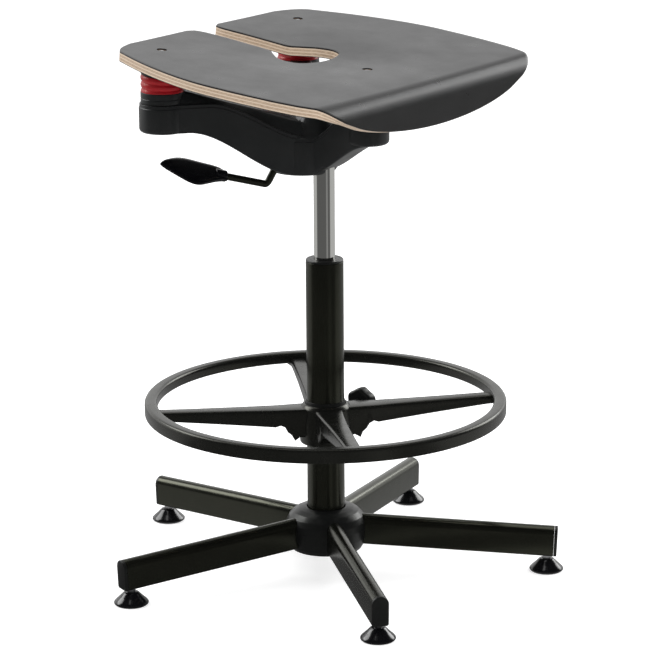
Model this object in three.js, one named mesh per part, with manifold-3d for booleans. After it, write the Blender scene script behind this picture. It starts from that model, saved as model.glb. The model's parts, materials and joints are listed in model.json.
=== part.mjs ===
// Perch stool. A saddle-shaped plywood seat rests on two sprung rear posts and a front
// universal pivot, on a carrier with three swan-neck arms. A gas spring in a column with five
// tube legs sets its height, and a foot ring is clamped to the column.
// Millimetres, +Z up. +X is the sitter's left and -Y the front.

import * as THREE from "three";
import { mergeVertices } from "three/addons/utils/BufferGeometryUtils.js";
import Module from "manifold-3d";

const wasm = await Module();
wasm.setup();

// Clearances that all pieces share
const gap = 0.3; // between pieces that touch
const overrun = 8; // how far a cutting solid runs past a face
const weld = 0.0001; // vertices this close are one

// Legs: round-topped tubes welded to a sleeve, falling slightly outwards
const legCount = 5;
const firstLegTurn = 13.07; // degrees from the sitter's left
const legReach = 306; // column's axis to the end of the tube
const footInset = 11; // the glide's middle from the tube's end
const legWidth = 22;
const legHeight = 40;
const legWall = 2;
const legCornerRadius = 3;
const legRootTop = 76; // height of a leg's top line where it would meet the axis
const legFall = 2.6; // degrees
const sleeveRadius = 30;
const sleeveHeight = 46;
const capThickness = 3;
const plugLength = 26;

// Glides: turned cones on plain stems, free to turn in the end plugs
const glideRadius = 23.1;
const glideRimHeight = 4.5;
const glideHeight = 17.4;
const glideNeckRadius = 9;
const glideShoulderShare = 0.3; // of the way from the rim to the neck
const glideRiseShare = 0.42; // of the height above the rim
const stemRadius = 5.5;
const stemFoot = 8;
const stemTop = 48;
const stemGroove = 0.8;

// Hub cover: a dome over the leg roots
const coverRadius = 54.5; // at its widest
const coverFootRadius = 47;
const coverBottom = 26;
const coverWaist = 60; // height of the widest place
const coverTop = 84;
const coverHoleRadius = 26;
const coverWall = 2.5;
const coverFootAngle = -75; // degrees, start of the curve below the waist
const coverShoulderAngle = 22; // degrees, start of the curve above it

// Column, its guide bush and its foot plate
const columnRadius = 25;
const columnWall = 2.5;
const columnBottom = 30;
const columnLength = 389;
const bushFlange = 4.7;
const bushLip = 1.6;
const bushGroove = 0.7;
const bushLength = 90;
const plateLift = 4;
const plateThickness = 4;

// Gas spring: cylinder, rod, piston and the thrust bearing that it turns on
const cylinderRadius = 14;
const cylinderBore = 11;
const cylinderBottom = 208;
const cylinderTop = 585;
const cylinderHead = 25;
const taperTopRadius = 13;
const rodRadius = 5;
const rodTop = 385;
const rodTail = 8; // below the foot plate
const spigotRadius = 4;
const pistonLength = 12;
const pistonGroove = 1.2;
const rodGuideLength = 17.5;
const rodGuideInset = 0.5;
const bearingRadius = 14;
const bearingBore = 6;
const washerThickness = 2;
const cageThickness = 3;
const clipRadius = 8;
const clipThickness = 2;
const valvePinRadius = 3;
const valvePinRise = 5;
const valvePinLength = 28;

// Foot ring: four spokes that deepen into a stepped hub, on a thin bush
const ringRadius = 239.9;
const ringWidth = 17;
const ringHeight = 19.3;
const ringTop = 235.2;
const ringCorner = 5;
const spokeCount = 4;
const firstSpokeTurn = -43.75; // degrees
const spokeTopNear = 223.5;
const spokeTopFar = 228;
const spokeUnderFar = 217;
const spokeUnderNear = 201;
const spokeStepUnder = 186;
const spokeStepOuter = 66; // where the underside starts down to the step
const spokeStepInner = 40;
const spokeRootHalf = 18;
const spokeTipHalf = 6.5;
const spokeEdge = 2.5;
const ringHubRadius = 33;
const ringHubTop = 227;
const ringHubBottom = 174;
const ringHubEdge = 3;
const ringBushRadius = 26.7;
const ringBushTop = 232;

// Clamp of the foot ring: a knob on a screw that drives a pad against the column
const clampTurn = -3.5; // degrees
const clampHeight = 209.6;
const clampBossRadius = 10;
const clampBossReach = 42;
const padRadius = 5;
const padLength = 7;
const padRoom = 2;
const screwRadius = 4;
const knobReach = 85.5; // column's axis to the knob's outer face
const knobThickness = 9.5;
const knobRadius = 19.5;
const knobLobes = 6;
const knobLobeDepth = 2.4;
const knobNeckRadius = 7;
const knobNeckLength = 16;
const knobBoreDepth = 18;

// Carrier: a pot on the cylinder's taper and three swan-neck arms that end in cups
const potRadius = 45;
const potSetback = 34; // the pot's centre lies behind the column's axis
const potTop = 589;
const potBottom = 539;
const armRootBack = 13; // where the arms' middle lines meet, behind the column's axis
const rearCupAcross = 145.2;
const rearCupBack = 149.6;
const rearCupRadius = 30.3;
const rearCupTop = 638.8;
const rearCupBottom = 601;
const rearCupBore = 24;
const rearCupFloor = 612;
const frontCupForward = 70.3;
const frontCupRadius = 28;
const frontCupTop = 626;
const frontCupBottom = 586;
const frontCupFloor = 600;
const armHalfWidth = 27;
const armWaist = 3;
const carrierEdge = 5; // radius of the lower edge
const edgeMiddleShare = 0.3; // of that radius, at the middle of its arc
const ledgeDrop = 5;
const ridgeDrop = 1.1; // ridge on a rear arm below the collar's top
const ridgeRise = 22; // the same ridge above the pot
const ridgeInset = 2.6;
const ridgeShares = [0.145, 0.87]; // of the way from the cup to the pot
const ridgeHalfShare = 0.5; // of the arm's half width
const ledgeInset = 0.8;
const rearTopShares = [0.28, 0.96]; // where the top line falls, from cup to pot
const rearUnderShares = [0.15, 0.86];
const frontTopShares = [0.15, 0.9];
const frontUnderShares = [-0.2, 1];
const frontArmPast = 0.2; // the front arm runs on under its cup by this share of its length

// Centre cap: a cone over the valve and the lever's finger
const centreCapRadius = 27.3;
const centreCapHeight = 34.7;
const centreCapWall = 2.5;
const centreCapShares = [[1, 0], [1, 0.1], [0.82, 0.36], [0.65, 0.6], [0.56, 0.83], [0.34, 0.97], [0, 1]];

// Rear posts: collar, ribbed bellows, coil spring and the head under the seat
const collarRadius = 28.6;
const collarHeight = 16;
const collarBore = 21;
const collarSpigot = 10;
const collarBead = 1.5;
const bellowsCrest = 29;
const bellowsValley = 26.6;
const bellowsBore = 23.6;
const bellowsRibs = 3;
const bellowsHeight = 38.1; // from the collar to the seat's underside, at its middle
const springRadius = 17;
const springWire = 1.75;
const springTurns = 5;
const springSteps = 8; // steps in a turn
const springSides = 5; // sides of the wire
const headRadius = 21.5;
const headThickness = 4;
const headStemRadius = 6.5;
const headStemLength = 30;

// Front universal pivot: post, cross and bracket
const pivotDrop = 44; // pivot's centre below the seat's face over the column
const postRadius = 22;
const postFlange = 5.7;
const postPillar = 9;
const pillarDrop = 14; // pillar's top below the pivot
const lugSpread = 12; // pivot's centre to the middle of a lug
const lugThickness = 6;
const lugHalfWidth = 7;
const crossRadius = 4;
const crossReach = 15.5;
const crossBlock = 14;
const bracketRadius = 24;
const bracketThickness = 5;

// Release lever: a bent rod on a pin through the carrier, with a paddle outside
const leverTurn = 134.76; // degrees, plan direction of the lever's plane
const leverRadius = 4.7;
const fingerStart = -4;
const fingerEnd = 12;
const leverKneeReach = 28;
const leverKneeDrop = 9; // below the finger
const leverPinReach = 46;
const leverPinDrop = 12; // below the knee
const leverShinReach = 64.8;
const leverShinDrop = 28; // below the pin
const leverBendReach = 74.9;
const leverBendDrop = 19.7; // below the shin
const leverOuterDirection = new THREE.Vector3(-0.802, 0.539, 0.259).normalize();
const leverCurveShare = 0.35; // of a stretch that its curve takes
const leverLastShare = 0.05; // the same beyond the last bend
const leverRoom = 9.3; // lever's centre line to the walls of its channel
const channelWidth = 11;
const leverPinRadius = 2.5;
const leverPinLength = 34;
const leverBossRadius = 6.5;
const leverBossWidth = 9.5;
const paddleStart = 58; // along the outer stretch, from the bend
const paddleLength = 91;
const paddleWidth = 50;
const paddleThickness = 9;
const paddleTilt = 29; // degrees about its length
const paddleSocket = 15.3;
const paddleCollarRadius = 7.6;
const paddleShares = [
  [0, 0.18, 0.2, 0.8], [0.08, 0.22, 0.29, 1], [0.18, 0.3, 0.34, 1], [0.3, 0.42, 0.36, 1],
  [0.41, 0.53, 0.38, 1], [0.5, 0.57, 0.4, 1], [0.6, 0.53, 0.41, 0.97], [0.72, 0.41, 0.38, 0.9],
  [0.83, 0.28, 0.29, 0.8], [0.92, 0.17, 0.19, 0.65], [0.97, 0.09, 0.1, 0.5], [1, 0.03, 0.03, 0.3],
]; // place along the paddle, reach to its lower and its upper edge, thickness

// Seat: pressed plywood with a slot from the rear and a waterfall front
const seatSlope = 5.48; // degrees, the front is lower
const seatThickness = 13;
const laminateThickness = 0.8;
const seatHalfWidth = 251;
const seatRear = 200; // from the column's axis back to the rear edge beside the slot
const seatRise = 2.7; // lift of the outer edges
const dimpleDepth = 4.5;
const dimpleCentre = 5;
const dimpleHalfWidth = 150;
const dimpleRearReach = 200;
const dimpleFrontReach = 145;
const bendStart = 155.7;
const bendRadius = 26;
const bendAngle = 74; // degrees
const seatFront = 221; // developed length from the axis to the front edge
const shoulderStart = 145;
const shoulderHalfWidth = 239;
const shoulderPull = 73.5;
const shoulderTurn = 15.5; // degrees
const noseHalfWidth = 50;
const noseTurnShare = 0.49; // where the front edge leaves the last straight row
const holeHalfWidth = 49.5;
// Rows from the rear to the straight middle: place on the slot and on the outer edge. Places
// are shares of the rear length, widths shares of the hole's and of the seat's half width.
const seatRowShares = [
  [-1, 0.667, -0.985, 0.61], [-0.975, 0.47, -0.945, 0.705], [-0.9, 0.384, -0.885, 0.785],
  [-0.8, 0.376, -0.825, 0.841], [-0.6752, 0.376, -0.76, 0.875],
  [-0.5254, 0.384, -0.625, 0.885], [-0.3649, 0.394, -0.5, 0.918],
  [-0.2996, 0.586, -0.374, 0.948], [-0.2247, 0.838, -0.26, 0.971],
  [-0.1701, 0.95, -0.18, 0.984], [-0.1102, 1, -0.11, 0.992], [-0.0599, 0.95, -0.04, 0.998],
  [-0.0203, 0.808, 0.03, 1], [0.0048, 0.545, 0.11, 0.999], [0.0198, 0.283, 0.2, 0.998],
  [0.025, 0, 0.31, 0.994], [0.2001, 0, 0.425, 0.987], [0.4248, 0, 0.56, 0.976],
  [0.6495, 0, 0.69, 0.958],
];
const screwHoleRadius = 3.3;
const screwShankRadius = 3;
const screwHeadRadius = 6.5;
const screwHeadHeight = 3.5;
const screwHeadDepth = 1; // head's top below the seat's face
const screwReach = 12; // into the post head or the bracket
const socketRadius = 2.6;
const socketDepth = 2;
const frontScrewForward = 70.6;
const rearScrewBack = 150.3;

// Places worked out from the sizes above
const footReach = legReach - footInset;
const fingerHeight = cylinderTop + valvePinRise + leverRadius + gap;
const leverKneeHeight = fingerHeight - leverKneeDrop;
const leverPinHeight = leverKneeHeight - leverPinDrop;
const leverShinHeight = leverPinHeight - leverShinDrop;
const leverBendHeight = leverShinHeight - leverBendDrop;
const columnTop = columnBottom + columnLength;
const columnInner = columnRadius - columnWall;
const plateBottom = columnBottom + plateLift;
const edgeMiddle = carrierEdge * edgeMiddleShare;
const bearingBottom = plateBottom + plateThickness + gap;
const cageBottom = bearingBottom + washerThickness + gap;
const upperWasherBottom = cageBottom + cageThickness + gap;
const rodShoulder = upperWasherBottom + washerThickness + gap;
const slope = THREE.MathUtils.degToRad(seatSlope);
const bend = THREE.MathUtils.degToRad(bendAngle);
const collarBottom = rearCupTop + gap;
const bellowsBottom = collarBottom + collarHeight + gap;
const ridgeStart = collarBottom + collarHeight - ridgeDrop;
const ridgeEnd = potTop + ridgeRise;
const bellowsDepth = -undersideOver(rearCupAcross, -rearCupBack, bellowsCrest);
const seatHeight = bellowsBottom + bellowsHeight + bellowsDepth / Math.cos(slope)
  - rearCupBack * Math.tan(slope); // top face above the column's axis
const pivotHeight = seatHeight - pivotDrop;

// Finishes
function finish(color, roughness, metalness) {
  return new THREE.MeshStandardMaterial({ color, roughness, metalness });
}

const blackPaint = finish(0x232421, 0.45, 0.3);
const blackPlastic = finish(0x141416, 0.55, 0);
const glossPlastic = finish(0x0d0e12, 0.22, 0);
const ringPlastic = finish(0x2a2b2e, 0.5, 0);
const chrome = finish(0xc9ccd0, 0.12, 1);
const steel = finish(0x9a9da1, 0.35, 1);
const redRubber = finish(0xb4262e, 0.5, 0);
const laminateBlack = finish(0x3b3c3d, 0.45, 0);
const plywood = finish(0xb98a62, 0.6, 0);

// A closed solid from any geometry: vertices merged, slivers dropped, faces turned outwards
function closed(geometry) {
  const bare = new THREE.BufferGeometry();
  bare.setAttribute("position", geometry.getAttribute("position"));
  bare.setIndex(geometry.index);
  const merged = mergeVertices(bare, weld);
  const faces = [];
  for (let i = 0; i < merged.index.count; i += 3) {
    const [a, b, c] = [0, 1, 2].map((corner) => merged.index.getX(i + corner));
    if (a !== b && b !== c && c !== a) faces.push([a, b, c]);
  }
  const outwards = signedVolume(merged, faces) > 0;
  merged.setIndex(faces.flatMap(([a, b, c]) => (outwards ? [a, b, c] : [a, c, b])));
  return merged;
}

function signedVolume(geometry, faces) {
  const place = geometry.getAttribute("position");
  const corners = [0, 1, 2].map(() => new THREE.Vector3());
  return faces.reduce((sum, face) => {
    face.forEach((vertex, k) => corners[k].fromBufferAttribute(place, vertex));
    return sum + corners[0].dot(corners[1].clone().cross(corners[2])) / 6;
  }, 0);
}

function toSolid(geometry) {
  return new wasm.Manifold(new wasm.Mesh({
    numProp: 3,
    vertProperties: Float32Array.from(geometry.getAttribute("position").array),
    triVerts: Uint32Array.from(geometry.index.array),
  }));
}

function fromSolid(solid) {
  const { vertProperties, triVerts } = solid.getMesh();
  const geometry = new THREE.BufferGeometry();
  geometry.setAttribute("position", new THREE.BufferAttribute(vertProperties, 3));
  geometry.setIndex(new THREE.BufferAttribute(triVerts, 1));
  return closed(geometry);
}

function join(...pieces) {
  return fromSolid(pieces.map(toSolid).reduce((whole, piece) => whole.add(piece)));
}

function cut(body, ...tools) {
  return fromSolid(tools.map(toSolid).reduce((rest, tool) => rest.subtract(tool), toSolid(body)));
}

// A profile of [radius, height] points turned about +Z, closed on itself or on the axis
function revolve(profile, sides) {
  const points = profile.map(([radius, height]) => new THREE.Vector2(radius, height));
  if (points[0].x > 0) points.push(points[0].clone());
  return closed(new THREE.LatheGeometry(points, sides).rotateX(Math.PI / 2));
}

function ring(inner, outer, bottom, top, sides) {
  return revolve([[inner, bottom], [outer, bottom], [outer, top], [inner, top]], sides);
}

function disc(radius, bottom, top, sides) {
  return revolve([[0, bottom], [radius, bottom], [radius, top], [0, top]], sides);
}

// Points of an arc in a profile, angles in degrees
function arc(centreRadius, centreHeight, radius, from, to, steps) {
  return Array.from({ length: steps + 1 }, (_, step) => {
    const angle = THREE.MathUtils.degToRad(from + ((to - from) * step) / steps);
    return [centreRadius + radius * Math.cos(angle), centreHeight + radius * Math.sin(angle)];
  });
}

// A round bar from a point along a direction
function bar(radius, length, sides, from, direction) {
  const turn = new THREE.Quaternion().setFromUnitVectors(new THREE.Vector3(0, 0, 1), direction);
  const solid = disc(radius, 0, length, sides).applyQuaternion(turn);
  return solid.translate(from.x, from.y, from.z);
}

// A solid through rings of equal point counts, its ends closed by fans
function loft(rings) {
  const count = rings[0].length;
  const middles = [rings[0], rings[rings.length - 1]].map((points) =>
    points.reduce((sum, point) => sum.add(point), new THREE.Vector3()).divideScalar(count));
  const geometry = new THREE.BufferGeometry().setFromPoints([...rings.flat(), ...middles]);
  const firstMiddle = rings.length * count;
  const lastRing = (rings.length - 1) * count;
  const faces = [];
  for (let side = 0; side < count; side += 1) {
    const next = (side + 1) % count;
    for (let low = 0; low < lastRing; low += count) {
      const high = low + count;
      faces.push(low + side, low + next, high + next, low + side, high + next, high + side);
    }
    faces.push(firstMiddle, next, side, firstMiddle + 1, lastRing + side, lastRing + next);
  }
  geometry.setIndex(faces);
  return closed(geometry);
}

// An outline drawn in (x, z) as a plate between two values of y
function plate(points, from, thickness) {
  const shape = new THREE.Shape(points.map(([x, z]) => new THREE.Vector2(x, z)));
  const solid = new THREE.ExtrudeGeometry(shape, { depth: thickness, bevelEnabled: false });
  return closed(solid.rotateX(Math.PI / 2).translate(0, from + thickness, 0));
}

function smooth(value) {
  const share = THREE.MathUtils.clamp(value, 0, 1);
  return share * share * (3 - 2 * share);
}

function mix(from, to, share) {
  return from + (to - from) * share;
}

function group(parent, turn = 0) {
  const made = new THREE.Group();
  made.rotation.z = THREE.MathUtils.degToRad(turn);
  parent.add(made);
  return made;
}

function place(parent, name, geometry, material) {
  const mesh = new THREE.Mesh(geometry, material);
  mesh.name = name;
  parent.add(mesh);
  return mesh;
}

// Legs and feet

// Section of a leg with its top line at height zero; a negative inset grows it
function legSection(inset, height) {
  const half = legWidth / 2 - inset;
  const corner = legCornerRadius - Math.max(inset, 0);
  const cornerHeight = inset - height + corner;
  return [
    ...arc(0, -legWidth / 2, half, 0, 180, 6),
    ...arc(corner - half, cornerHeight, corner, 180, 270, 1),
    ...arc(half - corner, cornerHeight, corner, 270, 360, 1),
  ].map(([across, up]) => new THREE.Vector2(across, up));
}

// A section carried outwards along the falling line of a leg
function alongLeg(section, from, to, hollow = []) {
  const shape = new THREE.Shape(section);
  shape.holes.push(...hollow.map((points) => new THREE.Path(points)));
  const solid = new THREE.ExtrudeGeometry(shape, { depth: to - from, bevelEnabled: false });
  const outwards = new THREE.Matrix4().makeBasis(
    new THREE.Vector3(0, 1, 0), new THREE.Vector3(0, 0, 1), new THREE.Vector3(1, 0, 0));
  solid.applyMatrix4(outwards).translate(from, 0, 0);
  solid.rotateY(THREE.MathUtils.degToRad(legFall)).translate(0, 0, legRootTop);
  return closed(solid);
}

function leg() {
  const hollow = legSection(legWall, legHeight);
  const tube = alongLeg(legSection(0, legHeight), sleeveRadius - legWall, legReach, [hollow]);
  const root = disc(sleeveRadius + gap, 0, legRootTop + legHeight, 32);
  const stemHole = disc(stemRadius + 2 * gap, 0, legHeight, 10).translate(footReach, 0, 0);
  return cut(tube, root, stemHole);
}

function legCap() {
  const faceStart = legReach + gap;
  const face = alongLeg(legSection(0, legHeight), faceStart, faceStart + capThickness);
  const plugSection = legSection(legWall + gap, legHeight);
  const plug = alongLeg(plugSection, legReach - plugLength, faceStart + capThickness / 2);
  const socket = disc(stemRadius + gap, 0, stemTop + gap, 10).translate(footReach, 0, 0);
  return cut(join(face, plug), socket);
}

function glide() {
  const sole = glideRadius - glideRimHeight / 2;
  const shoulder = mix(glideRadius, glideNeckRadius, glideShoulderShare);
  return revolve([
    [0, 0], [sole, 0], [glideRadius, glideRimHeight / 2], [glideRadius, glideRimHeight],
    [shoulder, mix(glideRimHeight, glideHeight, glideRiseShare)], [glideNeckRadius, glideHeight],
    [stemRadius + gap, glideHeight], [stemRadius + gap, stemFoot], [0, stemFoot],
  ], 14);
}

function stem() {
  const grooveTop = stemTop - 4 * stemGroove;
  const grooveBottom = grooveTop - 2 * stemGroove;
  const groove = stemRadius - stemGroove;
  return revolve([
    [0, stemFoot + gap], [stemRadius, stemFoot + gap], [stemRadius, grooveBottom],
    [groove, grooveBottom], [groove, grooveTop], [stemRadius, grooveTop],
    [stemRadius, stemTop - stemGroove], [groove, stemTop], [0, stemTop],
  ], 8);
}

function addLegs(stool) {
  const pieces = [leg(), legCap(), glide(), stem()];
  for (let i = 0; i < legCount; i += 1) {
    const spoke = group(stool, firstLegTurn + (360 / legCount) * i);
    place(spoke, `leg_${i + 1}`, pieces[0], blackPaint);
    place(spoke, `leg_cap_${i + 1}`, pieces[1], blackPlastic);
    place(spoke, `foot_glide_${i + 1}`, pieces[2], glossPlastic).position.x = footReach;
    place(spoke, `foot_stem_${i + 1}`, pieces[3], steel).position.x = footReach;
  }
}

function hubCover() {
  const skin = (inset, steps) => [
    ...arc(0, 0, 1, coverFootAngle, 0, steps).map(([across, down]) => [
      mix(coverFootRadius, coverRadius, across) - inset,
      coverWaist + (coverWaist - coverBottom) * down,
    ]),
    ...arc(0, 0, 1, coverShoulderAngle, 90, steps).map(([across, up]) => [
      mix(coverHoleRadius, coverRadius - inset, across),
      coverWaist + (coverTop - inset - coverWaist) * up,
    ]),
  ];
  const shell = revolve([...skin(0, 3), ...skin(coverWall, 1).reverse()], 22);
  const notch = alongLeg(legSection(-gap, 2 * legHeight), sleeveRadius, coverRadius + overrun);
  const notches = Array.from({ length: legCount }, (_, i) => notch.clone().rotateZ(
    THREE.MathUtils.degToRad(firstLegTurn + (360 / legCount) * i)));
  return cut(shell, ...notches);
}

// Column and gas spring

function guideBush() {
  const flangeBottom = columnTop + gap;
  const flangeTop = flangeBottom + bushFlange;
  const body = columnInner - gap;
  const bore = cylinderRadius + gap;
  const grooveOuter = columnRadius - 3 * bushLip;
  return revolve([
    [bore, flangeBottom - bushLength], [body, flangeBottom - bushLength], [body, flangeBottom],
    [columnRadius, flangeBottom],
    ...arc(columnRadius - bushLip, flangeTop - bushLip, bushLip, 0, 90, 2),
    [grooveOuter, flangeTop], [grooveOuter, flangeTop - bushGroove],
    [grooveOuter - bushGroove, flangeTop - bushGroove], [grooveOuter - bushGroove, flangeTop],
    [bore, flangeTop],
  ], 20);
}

function pressureCylinder() {
  const cavityTop = cylinderTop - cylinderHead;
  const valveBore = valvePinRadius + gap;
  return revolve([
    [cylinderBore, cylinderBottom], [cylinderRadius, cylinderBottom], [cylinderRadius, potBottom],
    [taperTopRadius, cylinderTop], [valveBore, cylinderTop], [valveBore, cavityTop],
    [cylinderBore, cavityTop],
  ], 20);
}

function piston() {
  const bottom = rodTop + gap;
  const radius = cylinderBore - gap;
  const seal = radius - pistonGroove;
  const [low, high] = [0.35, 0.65].map((share) => bottom + pistonLength * share);
  return revolve([
    [0, bottom], [radius, bottom], [radius, low], [seal, low], [seal, high], [radius, high],
    [radius, bottom + pistonLength], [0, bottom + pistonLength],
  ], 14);
}

function addColumn(stool) {
  const shaftHole = spigotRadius + gap;
  const sleeveTop = columnBottom + sleeveHeight;
  place(stool, "hub_cover", hubCover(), blackPlastic);
  place(stool, "hub_sleeve", ring(columnRadius + gap, sleeveRadius, columnBottom, sleeveTop, 24), steel);
  place(stool, "column_tube", ring(columnInner, columnRadius, columnBottom, columnTop, 28), blackPaint);
  place(stool, "column_base_plate",
    ring(shaftHole, columnInner - gap, plateBottom, plateBottom + plateThickness, 16), steel);
  place(stool, "guide_bush", guideBush(), blackPlastic);
  place(stool, "bearing_lower_washer",
    ring(bearingBore, bearingRadius, bearingBottom, bearingBottom + washerThickness, 12), steel);
  place(stool, "bearing_cage",
    ring(bearingBore, bearingRadius, cageBottom, cageBottom + cageThickness, 12), steel);
  place(stool, "bearing_upper_washer",
    ring(shaftHole, bearingRadius, upperWasherBottom, upperWasherBottom + washerThickness, 12), steel);
  const rodBottom = plateBottom - rodTail;
  place(stool, "piston_rod", revolve([
    [0, rodBottom], [spigotRadius, rodBottom], [spigotRadius, rodShoulder],
    [rodRadius, rodShoulder], [rodRadius, rodTop], [0, rodTop],
  ], 12), steel);
  const clipTop = plateBottom - gap;
  place(stool, "rod_clip", ring(shaftHole, clipRadius, clipTop - clipThickness, clipTop, 12), steel);
  place(stool, "piston", piston(), blackPlastic);
  place(stool, "pressure_cylinder", pressureCylinder(), chrome);
  const rodGuideBottom = cylinderBottom + rodGuideInset;
  place(stool, "rod_guide",
    ring(rodRadius + gap, cylinderBore - gap, rodGuideBottom, rodGuideBottom + rodGuideLength, 12), steel);
  const pinTop = cylinderTop + valvePinRise;
  place(stool, "valve_pin", disc(valvePinRadius, pinTop - valvePinLength, pinTop, 8), steel);
}

// Foot ring

function spokeRing(reach) {
  const outwards = (reach - spokeStepOuter) / (ringRadius - spokeStepOuter);
  const step = (reach - spokeStepInner) / (spokeStepOuter - spokeStepInner);
  const under = outwards > 0 ? mix(spokeUnderNear, spokeUnderFar, outwards)
    : mix(spokeStepUnder, spokeUnderNear, smooth(step));
  const top = mix(spokeTopNear, spokeTopFar, Math.max(outwards, 0));
  const half = mix(spokeTipHalf, spokeRootHalf, (1 - reach / ringRadius) ** 2);
  const inner = half - spokeEdge;
  return [
    [-inner, under], [inner, under], [half, under + spokeEdge], [half, top - spokeEdge],
    [inner, top], [-inner, top], [-half, top - spokeEdge], [-half, under + spokeEdge],
  ].map(([across, height]) => new THREE.Vector3(reach, across, height));
}

function spoke() {
  const inner = ringBushRadius - gap;
  const reaches = [inner, spokeStepInner];
  const stepCount = 4;
  const outerCount = 3;
  for (let i = 1; i <= stepCount; i += 1) {
    reaches.push(mix(spokeStepInner, spokeStepOuter, i / stepCount));
  }
  for (let i = 1; i <= outerCount; i += 1) {
    reaches.push(mix(spokeStepOuter, ringRadius - ringWidth / 2, i / outerCount));
  }
  return loft(reaches.map(spokeRing));
}

function footRing() {
  const [inner, bottom] = [ringRadius - ringWidth, ringTop - ringHeight];
  const low = ringCorner / 2;
  const rim = revolve([
    [inner + low, bottom], [ringRadius - low, bottom], [ringRadius, bottom + low],
    ...arc(ringRadius - ringCorner, ringTop - ringCorner, ringCorner, 0, 90, 1),
    ...arc(inner + ringCorner, ringTop - ringCorner, ringCorner, 90, 180, 1),
    [inner, bottom + low],
  ], 44);
  const edge = ringHubRadius - ringHubEdge;
  const hub = revolve([
    [0, ringHubBottom], [edge, ringHubBottom], [ringHubRadius, ringHubBottom + ringHubEdge],
    [ringHubRadius, ringHubTop - ringHubEdge], [edge, ringHubTop], [0, ringHubTop],
  ], 24);
  const spokes = Array.from({ length: spokeCount }, (_, i) => spoke().rotateZ(
    THREE.MathUtils.degToRad(firstSpokeTurn - clampTurn + (360 / spokeCount) * i)));
  const outwards = new THREE.Vector3(1, 0, 0);
  const axis = new THREE.Vector3(0, 0, clampHeight);
  const boss = bar(clampBossRadius, clampBossReach, 14, axis, outwards);
  const bore = disc(ringBushRadius + gap, ringHubBottom - overrun, ringHubTop + overrun, 24);
  const padEnd = columnRadius + gap + padLength + padRoom;
  const padBore = bar(padRadius + gap, padEnd, 12, axis, outwards);
  const screwBore = bar(screwRadius + gap, clampBossReach + overrun, 10, axis, outwards);
  return cut(join(rim, hub, ...spokes, boss), bore, padBore, screwBore);
}

function knob() {
  const pointsPerLobe = 5;
  const count = knobLobes * pointsPerLobe;
  const star = (reach, size) => Array.from({ length: count }, (_, i) => {
    const angle = (2 * Math.PI * i) / count;
    const radius = size * (knobRadius - (knobLobeDepth * (1 - Math.cos(knobLobes * angle))) / 2);
    return new THREE.Vector3(reach, radius * Math.cos(angle), radius * Math.sin(angle));
  });
  const inner = knobReach - knobThickness;
  const headShares = [[0, 0.88], [0.2, 1], [0.65, 1], [1, 0.72]];
  const head = loft(headShares.map(([share, size]) => star(mix(inner, knobReach, share), size)));
  const neckStart = new THREE.Vector3(inner - knobNeckLength, 0, 0);
  const outwards = new THREE.Vector3(1, 0, 0);
  const neck = bar(knobNeckRadius, knobNeckLength + knobThickness / 2, 14, neckStart, outwards);
  const boreStart = new THREE.Vector3(inner - knobNeckLength - overrun, 0, 0);
  const bore = bar(screwRadius + gap, knobBoreDepth + overrun, 10, boreStart, outwards);
  return cut(join(head, neck), bore);
}

function addFootRing(stool) {
  const clamp = group(stool, clampTurn);
  place(clamp, "foot_ring", footRing(), ringPlastic);
  const outwards = new THREE.Vector3(1, 0, 0);
  const axis = new THREE.Vector3(0, 0, clampHeight);
  const bush = ring(columnRadius + gap, ringBushRadius, ringHubBottom, ringBushTop, 24);
  const window = bar(padRadius + gap, ringHubRadius, 12, axis, outwards);
  place(clamp, "ring_bush", cut(bush, window), blackPlastic);
  const padStart = new THREE.Vector3(columnRadius + gap, 0, 0);
  const pad = place(clamp, "pressure_pad", bar(padRadius, padLength, 12, padStart, outwards), blackPlastic);
  const screwStart = new THREE.Vector3(columnRadius + 2 * gap + padLength, 0, 0);
  const screwEnd = knobReach - knobThickness - knobNeckLength + knobBoreDepth - gap;
  const screw = bar(screwRadius, screwEnd - screwStart.x, 10, screwStart, outwards);
  const thread = place(clamp, "clamp_screw", screw, steel);
  const handle = place(clamp, "clamp_knob", knob(), blackPlastic);
  [pad, thread, handle].forEach((piece) => {
    piece.position.z = clampHeight;
  });
}

// Carrier

// One arm from a cup to where the arms meet, as rings across its length. It starts past the
// cup's middle by a share of that length, where it keeps inside the cup's round.
function arm(end, past) {
  const along = end.centre.clone().sub(armRoot);
  const across = new THREE.Vector3(-along.y, along.x, 0).normalize();
  const stations = 12;
  const fall = (share, [start, stop]) => smooth((share - start) / (stop - start));
  return loft(Array.from({ length: stations }, (_, i) => {
    const share = mix(-past, 1, i / (stations - 1)); // from the cup to the pot
    const top = mix(end.top, potTop, fall(share, end.topShares));
    const under = mix(end.bottom, potBottom, fall(share, end.underShares));
    const beyond = Math.max(0, -share) * along.length();
    const chord = Math.sqrt(end.radius ** 2 - beyond ** 2) - 2 * ledgeInset;
    const half = Math.min(armHalfWidth - armWaist * Math.sin(Math.PI * Math.max(0, share)), chord);
    const side = [
      [half - carrierEdge, under], [half - edgeMiddle, under + edgeMiddle],
      [half, under + carrierEdge], [half, top - ledgeDrop], [half - ledgeInset, top - ledgeDrop],
      [half - ledgeInset, top],
    ];
    if (end.ridge) {
      const rise = THREE.MathUtils.mapLinear(share, ...ridgeShares, 0, 1);
      const ridge = mix(ridgeStart, ridgeEnd, THREE.MathUtils.clamp(rise, 0, 1));
      side.push([half - ridgeInset, top], [half * ridgeHalfShare, ridge]);
    }
    const outline = [...side, ...side.map(([x, z]) => [-x, z]).reverse()];
    const middle = end.centre.clone().addScaledVector(along, -share);
    return outline.map(([x, z]) => middle.clone().addScaledVector(across, x).setZ(z));
  }));
}

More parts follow.
